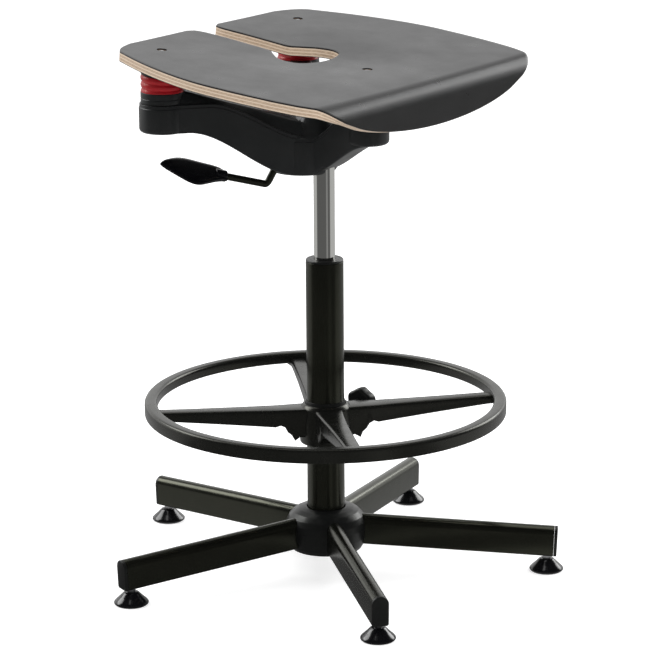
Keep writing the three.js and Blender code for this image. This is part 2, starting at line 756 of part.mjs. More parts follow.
function cup(centre, radius, bottom, top) {
  const inset = radius - ledgeInset;
  return revolve([
    [0, bottom], [radius - carrierEdge, bottom], [radius - edgeMiddle, bottom + edgeMiddle],
    [radius, bottom + carrierEdge], [radius, top - ledgeDrop], [inset, top - ledgeDrop],
    [inset, top], [0, top],
  ], 24).translate(centre.x, centre.y, 0);
}

// The lever's middle line in its own upright plane: distance from the column's axis, height
const leverLine = [
  [fingerStart, fingerHeight], [fingerEnd, fingerHeight], [leverKneeReach, leverKneeHeight],
  [leverPinReach, leverPinHeight], [leverShinReach, leverShinHeight],
  [leverBendReach, leverBendHeight],
];

// A band of even width about the lever's line, with its ends drawn out
function leverChannel() {
  const line = leverLine.map(([x, z]) => new THREE.Vector2(x, z));
  const tangent = (i) => line[Math.min(i + 1, line.length - 1)].clone()
    .sub(line[Math.max(i - 1, 0)]).normalize();
  const sideOf = (sign) => line.map((point, i) => {
    const along = tangent(i);
    const end = i === 0 ? -leverRoom : i === line.length - 1 ? leverRoom : 0;
    return [
      point.x - sign * leverRoom * along.y + end * along.x,
      point.y + sign * leverRoom * along.x + end * along.y,
    ];
  });
  const band = plate([...sideOf(1), ...sideOf(-1).reverse()], -channelWidth / 2, channelWidth);
  return band.rotateZ(THREE.MathUtils.degToRad(leverTurn));
}

// The lever pin's axis, square to the lever's plane
const leverPlane = new THREE.Vector3(1, 0, 0).applyAxisAngle(
  new THREE.Vector3(0, 0, 1), THREE.MathUtils.degToRad(leverTurn));
const leverPinAxis = new THREE.Vector3(leverPlane.y, -leverPlane.x, 0);
const leverPinMiddle = leverPlane.clone().multiplyScalar(leverPinReach).setZ(leverPinHeight);

function acrossLever(radius, length, sides) {
  const start = leverPinMiddle.clone().addScaledVector(leverPinAxis, -length / 2);
  return bar(radius, length, sides, start, leverPinAxis);
}

const rearCups = [-1, 1].map((side) => new THREE.Vector3(side * rearCupAcross, rearCupBack, 0));
const frontCup = new THREE.Vector3(0, -frontCupForward, 0);
const armRoot = new THREE.Vector3(0, armRootBack, 0);

function carrier() {
  const pot = cup(new THREE.Vector3(0, potSetback, 0), potRadius, potBottom, potTop);
  const front = {
    centre: frontCup, radius: frontCupRadius, top: frontCupTop, bottom: frontCupBottom,
    topShares: frontTopShares, underShares: frontUnderShares,
  };
  const rear = rearCups.map((centre) => ({
    centre, radius: rearCupRadius, top: rearCupTop, bottom: rearCupBottom,
    topShares: rearTopShares, underShares: rearUnderShares, ridge: true,
  }));
  const solids = [pot, arm(front, frontArmPast), ...rear.map((end) => arm(end, 0))];
  solids.push(...[front, ...rear].map((end) => cup(end.centre, end.radius, end.bottom, end.top)));
  const bores = rearCups.map((centre) =>
    disc(rearCupBore, rearCupFloor, rearCupTop + overrun, 20).translate(centre.x, centre.y, 0));
  bores.push(...rearCups.map((centre) =>
    disc(collarRadius + gap, rearCupTop, ridgeStart + overrun, 24).translate(centre.x, centre.y, 0)));
  bores.push(disc(postRadius + gap, frontCupFloor, frontCupTop + overrun, 24)
    .translate(frontCup.x, frontCup.y, 0));
  const taper = (cylinderRadius - taperTopRadius) / (cylinderTop - potBottom);
  const taperBore = revolve([
    [0, potBottom - overrun], [cylinderRadius + gap + taper * overrun, potBottom - overrun],
    [taperTopRadius + gap - taper * gap, cylinderTop + gap], [0, cylinderTop + gap],
  ], 20);
  const capSeat = disc(centreCapRadius + gap, potTop, frontCupTop, 24).translate(0, armRootBack, 0);
  const pinWell = disc(valvePinRadius + gap, cylinderTop, fingerHeight, 10);
  const pinBore = acrossLever(leverPinRadius + gap, leverPinLength + 2 * gap, 10);
  return cut(join(...solids), ...bores, taperBore, capSeat, pinWell, leverChannel(), pinBore);
}

function centreCap() {
  const bottom = potTop + gap;
  const skin = (inset) => centreCapShares.map(([across, up]) => [
    (centreCapRadius - inset) * across, bottom + (centreCapHeight - inset) * up,
  ]);
  return revolve([...skin(0).reverse(), ...skin(centreCapWall)], 18)
    .translate(0, armRootBack, 0);
}

// Release lever

function leverRod() {
  const bendPoint = leverPlane.clone().multiplyScalar(leverBendReach).setZ(leverBendHeight);
  const corners = leverLine.map(([reach, height]) =>
    leverPlane.clone().multiplyScalar(reach).setZ(height));
  const outerLength = paddleStart + paddleSocket - gap;
  corners.push(bendPoint.clone().addScaledVector(leverOuterDirection, outerLength));
  const path = new THREE.CurvePath();
  let from = corners[0];
  for (let i = 1; i < corners.length - 1; i += 1) {
    const onwards = i < corners.length - 2 ? leverCurveShare : leverLastShare;
    const into = corners[i].clone().lerp(corners[i - 1], leverCurveShare);
    const out = corners[i].clone().lerp(corners[i + 1], onwards);
    path.add(new THREE.LineCurve3(from, into));
    path.add(new THREE.QuadraticBezierCurve3(into, corners[i], out));
    from = out;
  }
  path.add(new THREE.LineCurve3(from, corners[corners.length - 1]));
  const section = new THREE.Shape().absarc(0, 0, leverRadius, 0, 2 * Math.PI);
  const rod = closed(new THREE.ExtrudeGeometry(section, {
    steps: 26, curveSegments: 4, extrudePath: path,
  }));
  const boss = acrossLever(leverBossRadius, leverBossWidth, 12);
  return cut(join(rod, boss), acrossLever(leverPinRadius + gap, channelWidth + overrun, 10));
}

// The paddle: a leaf with lens-shaped sections, tilted about its length
function paddle() {
  const tilt = THREE.MathUtils.degToRad(paddleTilt);
  const up = new THREE.Vector3(0, 0, 1);
  const level = leverOuterDirection.clone().cross(up).normalize();
  const across = level.clone().applyAxisAngle(leverOuterDirection, -tilt);
  const face = across.clone().cross(leverOuterDirection).normalize();
  const root = leverPlane.clone().multiplyScalar(leverBendReach).setZ(leverBendHeight)
    .addScaledVector(leverOuterDirection, paddleStart);
  const sectionPoints = 12;
  const leaf = loft(paddleShares.map(([along, lower, upper, thickness]) =>
    Array.from({ length: sectionPoints }, (_, i) => {
      const angle = (2 * Math.PI * i) / sectionPoints;
      const lens = Math.sign(Math.sin(angle)) * Math.abs(Math.sin(angle)) ** 0.7;
      return root.clone().addScaledVector(leverOuterDirection, along * paddleLength)
        .addScaledVector(across, Math.cos(angle) * paddleWidth * (Math.cos(angle) > 0 ? upper : lower))
        .addScaledVector(face, (lens * thickness * paddleThickness) / 2);
    })));
  const socketStart = root.clone().addScaledVector(leverOuterDirection, -overrun);
  const socket = bar(leverRadius + gap, paddleSocket + overrun, 10, socketStart, leverOuterDirection);
  const collar = bar(paddleCollarRadius, paddleSocket, 14, root, leverOuterDirection);
  return cut(join(leaf, collar), socket);
}

function addCarrier(stool) {
  place(stool, "carrier", carrier(), blackPlastic);
  place(stool, "centre_cap", centreCap(), blackPlastic);
  place(stool, "lever_pin", acrossLever(leverPinRadius, leverPinLength, 10), steel);
  place(stool, "lever_rod", leverRod(), blackPaint);
  place(stool, "lever_paddle", paddle(), glossPlastic);
}

// Seat

// Lift of the seat's top face over its plane
function seatLift(across, forward) {
  const reach = forward < dimpleCentre ? dimpleRearReach : dimpleFrontReach;
  const fade = (value) => Math.cos((Math.PI / 2) * Math.min(1, Math.abs(value))) ** 2;
  const dimple = fade(across / dimpleHalfWidth) * fade((forward - dimpleCentre) / reach);
  return seatRise * (across / seatHalfWidth) ** 2 - dimpleDepth * dimple;
}

// A place on the seat by width, developed length forwards and depth below the top face
function seatPoint(across, forward, depth) {
  const offset = seatLift(across, forward) - depth;
  if (forward <= bendStart) return new THREE.Vector3(across, -forward, offset);
  const turn = Math.min((forward - bendStart) / bendRadius, bend);
  const rest = Math.max(0, forward - bendStart - bendRadius * bend);
  const radius = bendRadius + offset;
  return new THREE.Vector3(across,
    -(bendStart + radius * Math.sin(turn) + rest * Math.cos(turn)),
    radius * Math.cos(turn) - bendRadius - rest * Math.sin(turn));
}

const shoulderAngle = THREE.MathUtils.degToRad(shoulderTurn);
const frontEdge = new THREE.CubicBezierCurve(
  new THREE.Vector2(shoulderHalfWidth, shoulderStart),
  new THREE.Vector2(shoulderHalfWidth - shoulderPull * Math.sin(shoulderAngle),
    shoulderStart + shoulderPull * Math.cos(shoulderAngle)),
  new THREE.Vector2(noseHalfWidth, seatFront),
  new THREE.Vector2(0, seatFront),
);

// Where the front edge's curve reaches a developed length
function frontShare(forward) {
  let [low, high] = [0, 1];
  for (let i = 0; i < 30; i += 1) {
    const middle = (low + high) / 2;
    if (frontEdge.getPoint(middle).y < forward) low = middle;
    else high = middle;
  }
  return low;
}

// Rows of [across, forward] points from the middle or the slot to the outer edge
function seatRows(columns) {
  const straight = (inner, outer) => Array.from({ length: columns + 1 }, (_, i) =>
    inner.map((value, k) => mix(value, outer[k], i / columns)));
  const rows = seatRowShares.map(([innerPlace, innerWidth, outerPlace, outerWidth]) => straight(
    [innerWidth * holeHalfWidth, innerPlace * seatRear],
    [outerWidth * seatHalfWidth, outerPlace * seatRear]));
  const bendRows = 5;
  for (let i = 0; i <= bendRows; i += 1) {
    const forward = bendStart + (bendRadius * bend * i) / bendRows;
    rows.push(straight([0, forward], [frontEdge.getPoint(frontShare(forward)).x, forward]));
  }
  const bendEnd = frontShare(bendStart + bendRadius * bend);
  const flap = frontEdge.getPoint(mix(bendEnd, noseTurnShare, 0.5));
  rows.push(straight([0, flap.y], [flap.x, flap.y]));
  const nose = (i) => frontEdge.getPoint(mix(1, noseTurnShare, i / columns));
  rows.push(Array.from({ length: columns + 1 }, (_, i) => nose(i).toArray()));
  return rows;
}

// A layer of the seat between two depths, as a closed skin over a grid of rows
function seatLayer(topDepth, underDepth, columns) {
  const rows = seatRows(columns);
  const strip = [];
  rows.forEach((row) => {
    const mirrored = row.map(([across, forward]) => [-across, forward]).reverse();
    strip.push([...mirrored, ...row]);
  });
  const width = strip[0].length;
  const layers = [topDepth, underDepth].map((depth) =>
    strip.flatMap((row) => row.map(([across, forward]) => seatPoint(across, forward, depth))));
  const count = layers[0].length;
  const geometry = new THREE.BufferGeometry().setFromPoints(layers.flat());
  const faces = [];
  const quad = (a, b, c, d) => faces.push(a, b, c, a, c, d);
  for (let row = 0; row + 1 < strip.length; row += 1) {
    const start = row * width;
    for (let i = 0; i + 1 < width; i += 1) {
      const slotCell = i === columns;
      const [a, b] = [start + i, start + i + 1];
      const [c, d] = [b + width, a + width];
      if (slotCell) {
        const open = strip[row][columns + 1][0] > 0 || strip[row + 1][columns + 1][0] > 0;
        if (open) {
          quad(a, d, d + count, a + count);
          quad(b, b + count, c + count, c);
        }
      } else {
        quad(a, d, c, b);
        quad(a + count, b + count, c + count, d + count);
      }
    }
    quad(start, start + count, start + width + count, start + width);
    const last = start + width - 1;
    quad(last, last + width, last + width + count, last + count);
  }
  const endRow = (strip.length - 1) * width;
  for (let i = 0; i + 1 < width; i += 1) {
    if (i !== columns) quad(i, i + 1, i + 1 + count, i + count);
    quad(endRow + i, endRow + i + count, endRow + i + 1 + count, endRow + i + 1);
  }
  geometry.setIndex(faces);
  return closed(geometry);
}

const seatScrews = [
  { name: "seat_screw_left", across: rearCupAcross, forward: -rearScrewBack },
  { name: "seat_screw_right", across: -rearCupAcross, forward: -rearScrewBack },
  { name: "seat_screw_front", across: 0, forward: frontScrewForward },
];

function seatPly(topDepth, underDepth) {
  const tools = seatScrews.flatMap(({ across, forward }) => {
    const face = seatLift(across, forward);
    const hole = disc(screwHoleRadius, face - seatThickness - overrun, face + overrun, 12);
    const seat = face - screwHeadDepth - screwHeadHeight - gap;
    const head = disc(screwHeadRadius + gap, seat, face + overrun, 16);
    return [hole, head].map((tool) => tool.translate(across, -forward, 0));
  });
  return cut(seatLayer(topDepth, underDepth, 3), ...tools);
}

function seatScrew({ across, forward }) {
  const top = seatLift(across, forward) - screwHeadDepth;
  const underHead = top - screwHeadHeight;
  const end = seatLift(across, forward) - seatThickness - screwReach;
  return revolve([
    [0, end], [screwShankRadius, end], [screwShankRadius, underHead], [screwHeadRadius, underHead],
    [screwHeadRadius, top], [socketRadius, top], [socketRadius, top - socketDepth],
    [0, top - socketDepth],
  ], 10).translate(across, -forward, 0);
}

// Lowest point of the seat's underside over a disc that lies against it
function undersideOver(across, forward, radius) {
  const corners = arc(across, forward, radius, 0, 360, 12);
  return Math.min(...corners.map(([x, y]) => seatLift(x, y))) - seatThickness - gap;
}

function postHead({ across, forward }) {
  const top = undersideOver(across, forward, headRadius);
  const under = top - headThickness;
  const bottom = under - headStemLength;
  const bore = screwShankRadius + gap;
  const boreEnd = seatLift(across, forward) - seatThickness - screwReach - gap;
  return revolve([
    [0, bottom], [headStemRadius, bottom], [headStemRadius, under], [headRadius, under],
    [headRadius, top], [bore, top], [bore, boreEnd], [0, boreEnd],
  ], 16).translate(across, -forward, 0);
}

// A lug in the (x, z) plane: a bar with a round end about the pivot, with its pin's hole
function lug(height) {
  const shape = new THREE.Shape();
  shape.moveTo(lugHalfWidth, height);
  shape.lineTo(lugHalfWidth, 0);
  shape.absarc(0, 0, lugHalfWidth, 0, Math.PI, height > 0);
  shape.lineTo(-lugHalfWidth, height);
  shape.holes.push(new THREE.Path().absarc(0, 0, crossRadius + gap, 0, 2 * Math.PI));
  const solid = new THREE.ExtrudeGeometry(shape, {
    depth: lugThickness, bevelEnabled: false, curveSegments: 5,
  });
  return closed(solid.rotateX(Math.PI / 2).translate(0, lugThickness / 2, 0));
}

function pairOfLugs(height, turn) {
  return [-1, 1].map((side) =>
    lug(height).translate(0, side * lugSpread, 0).rotateZ(turn));
}

function frontPost() {
  const bottom = frontCupFloor + gap - pivotHeight;
  const flange = disc(postRadius, bottom, bottom + postFlange, 24);
  const pillarHeight = -pillarDrop;
  const halfDepth = lugSpread + lugThickness / 2;
  const pillar = plate([
    [-postPillar, bottom], [postPillar, bottom], [lugHalfWidth, pillarHeight],
    [-lugHalfWidth, pillarHeight],
  ], -halfDepth, 2 * halfDepth);
  return join(flange, pillar, ...pairOfLugs(pillarHeight - lugThickness, 0));
}

function pivotCross() {
  const block = new THREE.BoxGeometry(crossBlock, crossBlock, crossBlock);
  const along = [new THREE.Vector3(1, 0, 0), new THREE.Vector3(0, 1, 0)];
  const shafts = along.map((axis) =>
    bar(crossRadius, 2 * crossReach, 10, axis.clone().multiplyScalar(-crossReach), axis));
  return join(closed(block), ...shafts);
}

// The bracket under the seat, in the seat's own tilted frame
function frontBracket(pivot) {
  const top = undersideOver(0, frontScrewForward, bracketRadius);
  const bore = screwShankRadius + gap;
  const under = top - bracketThickness;
  const plateRing = ring(bore, bracketRadius, under, top, 22).translate(0, -frontScrewForward, 0);
  const lugs = pairOfLugs(under + bracketThickness / 2 - pivot.z, Math.PI / 2);
  return join(plateRing, ...lugs.map((piece) => piece.translate(pivot.x, pivot.y, pivot.z)));
}

function addSeat(stool) {
  const seat = group(stool);
  seat.position.z = seatHeight;
  seat.rotation.x = slope;
  place(seat, "seat_laminate", seatPly(0, laminateThickness), laminateBlack);
  place(seat, "seat_board", seatPly(laminateThickness + gap, seatThickness), plywood);
  seatScrews.forEach((screw) => place(seat, screw.name, seatScrew(screw), steel));
  place(seat, "post_head_left", postHead(seatScrews[0]), steel);
  place(seat, "post_head_right", postHead(seatScrews[1]), steel);
  const pivot = new THREE.Vector3(0, -frontCupForward, pivotHeight);
  seat.updateMatrix();
  const pivotInSeat = pivot.clone().applyMatrix4(seat.matrix.clone().invert());
  place(seat, "front_bracket", frontBracket(pivotInSeat), blackPlastic);
  place(stool, "front_post", frontPost(), blackPlastic).position.copy(pivot);
  place(stool, "pivot_cross", pivotCross(), steel).position.copy(pivot);
}

// Rear posts

// Height of a plane that lies a given depth below the seat's plane
function seatPlane(y, depth) {
  return seatHeight + y * Math.tan(slope) - depth / Math.cos(slope);
}

// Stretches a solid so that its top follows a plane under the seat
function leanTo(geometry, bottom, top, depth) {
  const points = geometry.getAttribute("position");
  for (let i = 0; i < points.count; i += 1) {
    const share = (points.getZ(i) - bottom) / (top - bottom);
    points.setZ(i, mix(bottom, seatPlane(points.getY(i), depth), share));
  }
  return geometry;
}

function collar() {
  const top = collarBottom + collarHeight;
  const spigot = rearCupBore - gap;
  return revolve([
    [collarBore, collarBottom - collarSpigot], [spigot, collarBottom - collarSpigot],
    [spigot, collarBottom], [collarRadius, collarBottom], [collarRadius, top - collarBead],
    [collarRadius - collarBead, top], [collarBore, top],
  ], 22);
}

function bellows(centre) {
  const depth = -undersideOver(centre.x, -centre.y, bellowsCrest);
  const top = seatPlane(centre.y, depth);
  const steps = 4 * bellowsRibs;
  const wall = Array.from({ length: steps + 1 }, (_, step) => {
    const swell = (1 - Math.cos((2 * Math.PI * bellowsRibs * step) / steps)) / 2;
    return [mix(bellowsValley, bellowsCrest, swell), mix(bellowsBottom, top, step / steps)];
  });
  const tube = revolve([...wall, [bellowsBore, top], [bellowsBore, bellowsBottom]], 18);
  return leanTo(tube.translate(centre.x, centre.y, 0), bellowsBottom, top, depth);
}

// Rings of a coil spring between the cup's floor and the head under the seat
function springRings(centre) {
  const bottom = rearCupFloor + gap + springWire;
  const headUnder = headThickness - undersideOver(centre.x, -centre.y, headRadius);
  const depth = headUnder + gap + springWire;
  const steps = springTurns * springSteps;
  return Array.from({ length: steps + 1 }, (_, step) => {
    const angle = (2 * Math.PI * step) / springSteps;
    const [x, y] = [Math.cos(angle), Math.sin(angle)];
    return Array.from({ length: springSides }, (_unused, side) => {
      const around = (2 * Math.PI * side) / springSides;
      const radius = springRadius + springWire * Math.cos(around);
      const [pointX, pointY] = [centre.x + radius * x, centre.y + radius * y];
      const height = mix(bottom, seatPlane(pointY, depth), step / steps);
      return new THREE.Vector3(pointX, pointY, height + springWire * Math.sin(around));
    });
  });
}

// The least room between two turns of a spring, on the points of neighbouring turns
function leastTurnGap(rings) {
  const gaps = rings.slice(springSteps).flatMap((upper, i) =>
    upper.flatMap((point) => rings[i].map((lower) => point.distanceTo(lower))));
  return Math.min(...gaps);
}

function addRearPosts(stool) {
  const sides = ["right", "left"];
  rearCups.forEach((centre, i) => {
    const name = sides[i];
    const seatCollar = place(stool, `bellows_collar_${name}`, collar(), blackPlastic);
    seatCollar.position.copy(centre);
    place(stool, `bellows_${name}`, bellows(centre), redRubber);
    const rings = springRings(centre);
    console.log(`spring ${name}: least gap between turns ${leastTurnGap(rings).toFixed(2)} mm`);
    place(stool, `post_spring_${name}`, loft(rings), steel);
  });
}

// The column's axis is set off so that the feet stand centred on the origin
function footCentre() {
  const angles = Array.from({ length: legCount }, (_, i) =>
    THREE.MathUtils.degToRad(firstLegTurn + (360 / legCount) * i));
  const middle = (values) => (Math.min(...values) + Math.max(...values)) / 2;
  const middleX = middle(angles.map((angle) => footReach * Math.cos(angle)));
  const middleY = middle(angles.map((angle) => footReach * Math.sin(angle)));
  return new THREE.Vector3(middleX, middleY, 0);
}

const stool = new THREE.Group();
stool.position.copy(footCentre()).negate();
addLegs(stool);
addColumn(stool);
addFootRing(stool);
addCarrier(stool);
addRearPosts(stool);
addSeat(stool);

export default stool;
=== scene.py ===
# Perch stool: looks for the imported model. Sizes are in millimetres about the column's axis,
# +X the sitter's left and -Y the front, and each mesh is put into the frame in metres.
import json
import math

import bmesh
import bpy
from mathutils import Matrix, Quaternion, Vector


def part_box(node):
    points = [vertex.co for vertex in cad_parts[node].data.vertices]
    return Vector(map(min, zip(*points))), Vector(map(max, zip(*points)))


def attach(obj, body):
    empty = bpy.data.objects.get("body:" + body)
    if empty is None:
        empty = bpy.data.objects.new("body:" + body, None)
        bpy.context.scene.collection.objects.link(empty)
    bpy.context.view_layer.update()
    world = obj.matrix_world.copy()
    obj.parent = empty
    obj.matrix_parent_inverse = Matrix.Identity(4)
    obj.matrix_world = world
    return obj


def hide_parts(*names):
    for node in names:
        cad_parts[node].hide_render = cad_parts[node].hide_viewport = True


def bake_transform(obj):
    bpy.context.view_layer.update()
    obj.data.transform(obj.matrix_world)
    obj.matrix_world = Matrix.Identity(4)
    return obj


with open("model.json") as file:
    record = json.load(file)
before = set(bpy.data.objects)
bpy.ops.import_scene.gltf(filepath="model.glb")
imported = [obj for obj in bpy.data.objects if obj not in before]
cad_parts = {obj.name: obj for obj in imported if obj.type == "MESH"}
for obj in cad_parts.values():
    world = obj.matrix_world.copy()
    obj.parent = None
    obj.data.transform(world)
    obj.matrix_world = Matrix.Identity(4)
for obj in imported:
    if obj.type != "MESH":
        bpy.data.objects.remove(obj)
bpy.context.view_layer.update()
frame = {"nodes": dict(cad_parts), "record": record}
cadNodes = frame["nodes"]
tubeLow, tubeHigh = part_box("column_tube")
columnAxis = Vector(((tubeLow.x + tubeHigh.x) / 2, (tubeLow.y + tubeHigh.y) / 2, 0))
toFrame = Matrix.Translation(columnAxis) @ Matrix.Scale(0.001, 4)
up = Vector((0, 0, 1))


def inFrame(point):
    return toFrame @ Vector(point)


def mix(start, end, share):
    return start + (end - start) * share


def shift(x=0, y=0, z=0):
    return Matrix.Translation((x, y, z))


def rotation(degrees, axis="Z"):
    return Matrix.Rotation(math.radians(degrees), 4, axis)


def ease(value):
    share = min(max(value, 0), 1)
    return share * share * (3 - 2 * share)


# Materials

def linked(name, data):
    made = bpy.data.objects.new(name, data)
    bpy.context.scene.collection.objects.link(made)
    return made


# A node whose inputs are each a value or another node's output
def shaderNode(tree, kind, inputs=None, **settings):
    made = tree.nodes.new(kind)
    for name, value in settings.items():
        setattr(made, name, value)
    for name, value in (inputs or {}).items():
        if isinstance(value, bpy.types.NodeSocket):
            tree.links.new(value, made.inputs[name])
        else:
            made.inputs[name].default_value = value
    return made


def maths(tree, operation, first, second=0):
    made = shaderNode(tree, "ShaderNodeMath", {0: first, 1: second}, operation=operation)
    return made.outputs[0]


def ramp(tree, source, stops):
    made = shaderNode(tree, "ShaderNodeValToRGB", {"Fac": source})
    elements = made.color_ramp.elements
    while len(elements) < len(stops):
        elements.new(0.5)
    for element, (place, colour) in zip(elements, stops):
        element.position = place
        element.color = (*colour, 1)
    return made.outputs["Color"]


def spread(tree, source, low, high, inLow=0.3, inHigh=0.7, curve="LINEAR"):
    made = shaderNode(tree, "ShaderNodeMapRange", {
        "Value": source, "From Min": inLow, "From Max": inHigh, "To Min": low, "To Max": high},
        interpolation_type=curve)
    return made.outputs["Result"]


def noise(tree, vector, scale, detail=3, roughness=0.5, stretch=None):
    if stretch:
        mapping = shaderNode(tree, "ShaderNodeMapping", {"Vector": vector, "Scale": stretch})
        vector = mapping.outputs["Vector"]
    made = shaderNode(tree, "ShaderNodeTexNoise", {
        "Vector": vector, "Scale": scale, "Detail": detail, "Roughness": roughness})
    return made.outputs["Fac"]


def colourMix(tree, share, first, second):
    made = shaderNode(tree, "ShaderNodeMix", {"Factor": share, 6: first, 7: (*second, 1)},
                      data_type="RGBA")
    return made.outputs[2]


def startMaterial(name, look):
    material = bpy.data.materials.new(name)
    material.use_nodes = True
    tree = material.node_tree
    shader = tree.nodes["Principled BSDF"]
    for socket, value in look.get("sockets", {}).items():
        shader.inputs[socket].default_value = value
    coordinates = shaderNode(tree, "ShaderNodeTexCoord").outputs["Object"]
    return material, tree, shader, coordinates


def bumped(tree, shader, source, strength, distance):
    bump = shaderNode(tree, "ShaderNodeBump", {
        "Height": source, "Strength": strength, "Distance": distance})
    tree.links.new(bump.outputs["Normal"], shader.inputs["Normal"])


# A finish with slow colour changes, uneven gloss and a fine surface grain
def surfaceFinish(name, look):
    material, tree, shader, place = startMaterial(name, look)
    stretch = look.get("stretch")
    patches = noise(tree, place, look["patchScale"], 4, 0.55, stretch)
    stops = list(zip(patchBand, (look["colour"], look["secondColour"])))
    tree.links.new(ramp(tree, patches, stops), shader.inputs["Base Color"])
    gloss = noise(tree, place, look["glossScale"], 5, 0.6, stretch)
    tree.links.new(spread(tree, gloss, *look["roughness"]), shader.inputs["Roughness"])
    bumped(tree, shader, noise(tree, place, look["grainScale"], 2, 0.5, stretch),
           look["grainStrength"], look.get("grainHeight", usualGrain))
    return material


usualGrain, patchBand = 0.0001, (0.35, 0.68)
finishes = {
    "blackPaint": {
        "colour": (0.0034, 0.0036, 0.003), "secondColour": (0.0052, 0.0054, 0.0044),
        "patchScale": 22, "glossScale": 60, "roughness": (0.17, 0.27),
        "grainScale": 900, "grainStrength": 0.12,
        "sockets": {"Specular IOR Level": 0.6, "Specular Tint": (0.97, 1, 0.74, 1)},
    },
    "blackPlastic": {
        "colour": (0.0052, 0.0055, 0.0056), "secondColour": (0.0078, 0.0082, 0.0082),
        "patchScale": 18, "glossScale": 50, "roughness": (0.27, 0.37),
        "grainScale": 1500, "grainStrength": 0.2,
        "sockets": {"Specular IOR Level": 0.5, "Specular Tint": (0.98, 1, 0.95, 1)},
    },
    "carrierPlastic": {
        "colour": (0.014, 0.0155, 0.016), "secondColour": (0.02, 0.021, 0.021),
        "patchScale": 16, "glossScale": 45, "roughness": (0.3, 0.4),
        "grainScale": 1500, "grainStrength": 0.2,
        "sockets": {"Specular IOR Level": 0.5},
    },
    "glossPlastic": {
        "colour": (0.003, 0.003, 0.004), "secondColour": (0.005, 0.005, 0.006),
        "patchScale": 30, "glossScale": 40, "roughness": (0.12, 0.2),
        "grainScale": 700, "grainStrength": 0.05,
        "sockets": {"Coat Weight": 0.25, "Coat Roughness": 0.12},
    },
    "ringPlastic": {
        "colour": (0.0048, 0.005, 0.0046), "secondColour": (0.0074, 0.0076, 0.007),
        "patchScale": 14, "glossScale": 35, "roughness": (0.2, 0.3),
        "grainScale": 1100, "grainStrength": 0.18,
        "sockets": {"Specular IOR Level": 0.55, "Specular Tint": (1, 1, 0.86, 1)},
    },
    "chromePlate": {
        "colour": (0.82, 0.82, 0.78), "secondColour": (0.87, 0.87, 0.84),
        "patchScale": 9, "glossScale": 70, "roughness": (0.06, 0.1), "stretch": (1, 1, 0.06),
        "grainScale": 260, "grainStrength": 0.02,
        "sockets": {"Metallic": 1},
    },
    "zincSteel": {
        "colour": (0.42, 0.42, 0.43), "secondColour": (0.53, 0.53, 0.54),
        "patchScale": 60, "glossScale": 90, "roughness": (0.28, 0.42),
        "grainScale": 1200, "grainStrength": 0.15,
        "sockets": {"Metallic": 1},
    },
    "redRubber": {
        "colour": (0.37, 0.009, 0.016), "secondColour": (0.47, 0.014, 0.022),
        "patchScale": 25, "glossScale": 60, "roughness": (0.26, 0.38),
        "grainScale": 1300, "grainStrength": 0.15, "grainHeight": 0.0002,
        "sockets": {"Specular IOR Level": 0.5, "Specular Tint": (1, 0.8, 0.7, 1)},
    },
    "seatLaminate": {
        "colour": (0.014, 0.014, 0.014), "secondColour": (0.018, 0.018, 0.018),
        "patchScale": 7, "glossScale": 24, "roughness": (0.27, 0.33),
        "grainScale": 1400, "grainStrength": 0.25,
        "sockets": {"Specular IOR Level": 0.36},
    },
}
materials = {name: surfaceFinish(name, look) for name, look in finishes.items()}

plyLook = {
    "plies": 5, "glueShare": 0.1,
    "longGrain": (0.74, 0.60, 0.46), "crossGrain": (0.50, 0.345, 0.23),
    "glue": (0.2, 0.12, 0.075), "paleStreak": (0.82, 0.66, 0.5),
    "between": (0.13, 0.94), "wander": 0.012, "wanderScale": 35,
    "streakScale": 240, "streakStretch": (1, 1, 6), "streakMost": 0.75, "streakBand": (0.4, 0.7),
    "bumpStrength": 0.3, "bumpHeight": 0.0003, "roughness": (0.42, 0.58),
    "sockets": {"Specular IOR Level": 0.4, "Coat Weight": 0.15, "Coat Roughness": 0.35},
}


# Sawn plywood edge: plies by depth, which every wall vertex carries from 0 to 1
def plywoodEdge(look):
    material, tree, shader, place = startMaterial("plywoodEdge", look)
    whole = shaderNode(tree, "ShaderNodeAttribute", attribute_name="plyDepth").outputs["Fac"]
    depth = spread(tree, whole, 0, 1, *look["between"])
    wander = spread(tree, noise(tree, place, look["wanderScale"], 2), -look["wander"],
                    look["wander"])
    plies = maths(tree, "MULTIPLY", maths(tree, "ADD", depth, wander), look["plies"])
    within = maths(tree, "FRACT", plies)
    inPair = maths(tree, "FRACT", maths(tree, "MULTIPLY", plies, 0.5))
    plyColour = ramp(tree, inPair, [
        (0.0, look["longGrain"]), (0.47, look["longGrain"]), (0.53, look["crossGrain"]),
        (0.98, look["crossGrain"])])
    streaks = noise(tree, place, look["streakScale"], 4, 0.6, look["streakStretch"])
    streaked = colourMix(tree, spread(tree, streaks, 0, look["streakMost"], *look["streakBand"]),
                         plyColour, look["paleStreak"])
    glueMask = ramp(tree, within, [
        (0.0, (1, 1, 1)), (look["glueShare"], (0, 0, 0)), (1 - look["glueShare"] / 2, (0, 0, 0)),
        (1.0, (1, 1, 1))])
    tree.links.new(colourMix(tree, glueMask, streaked, look["glue"]), shader.inputs["Base Color"])
    tree.links.new(spread(tree, streaks, *look["roughness"]), shader.inputs["Roughness"])
    bumped(tree, shader, streaks, look["bumpStrength"], look["bumpHeight"])
    return material


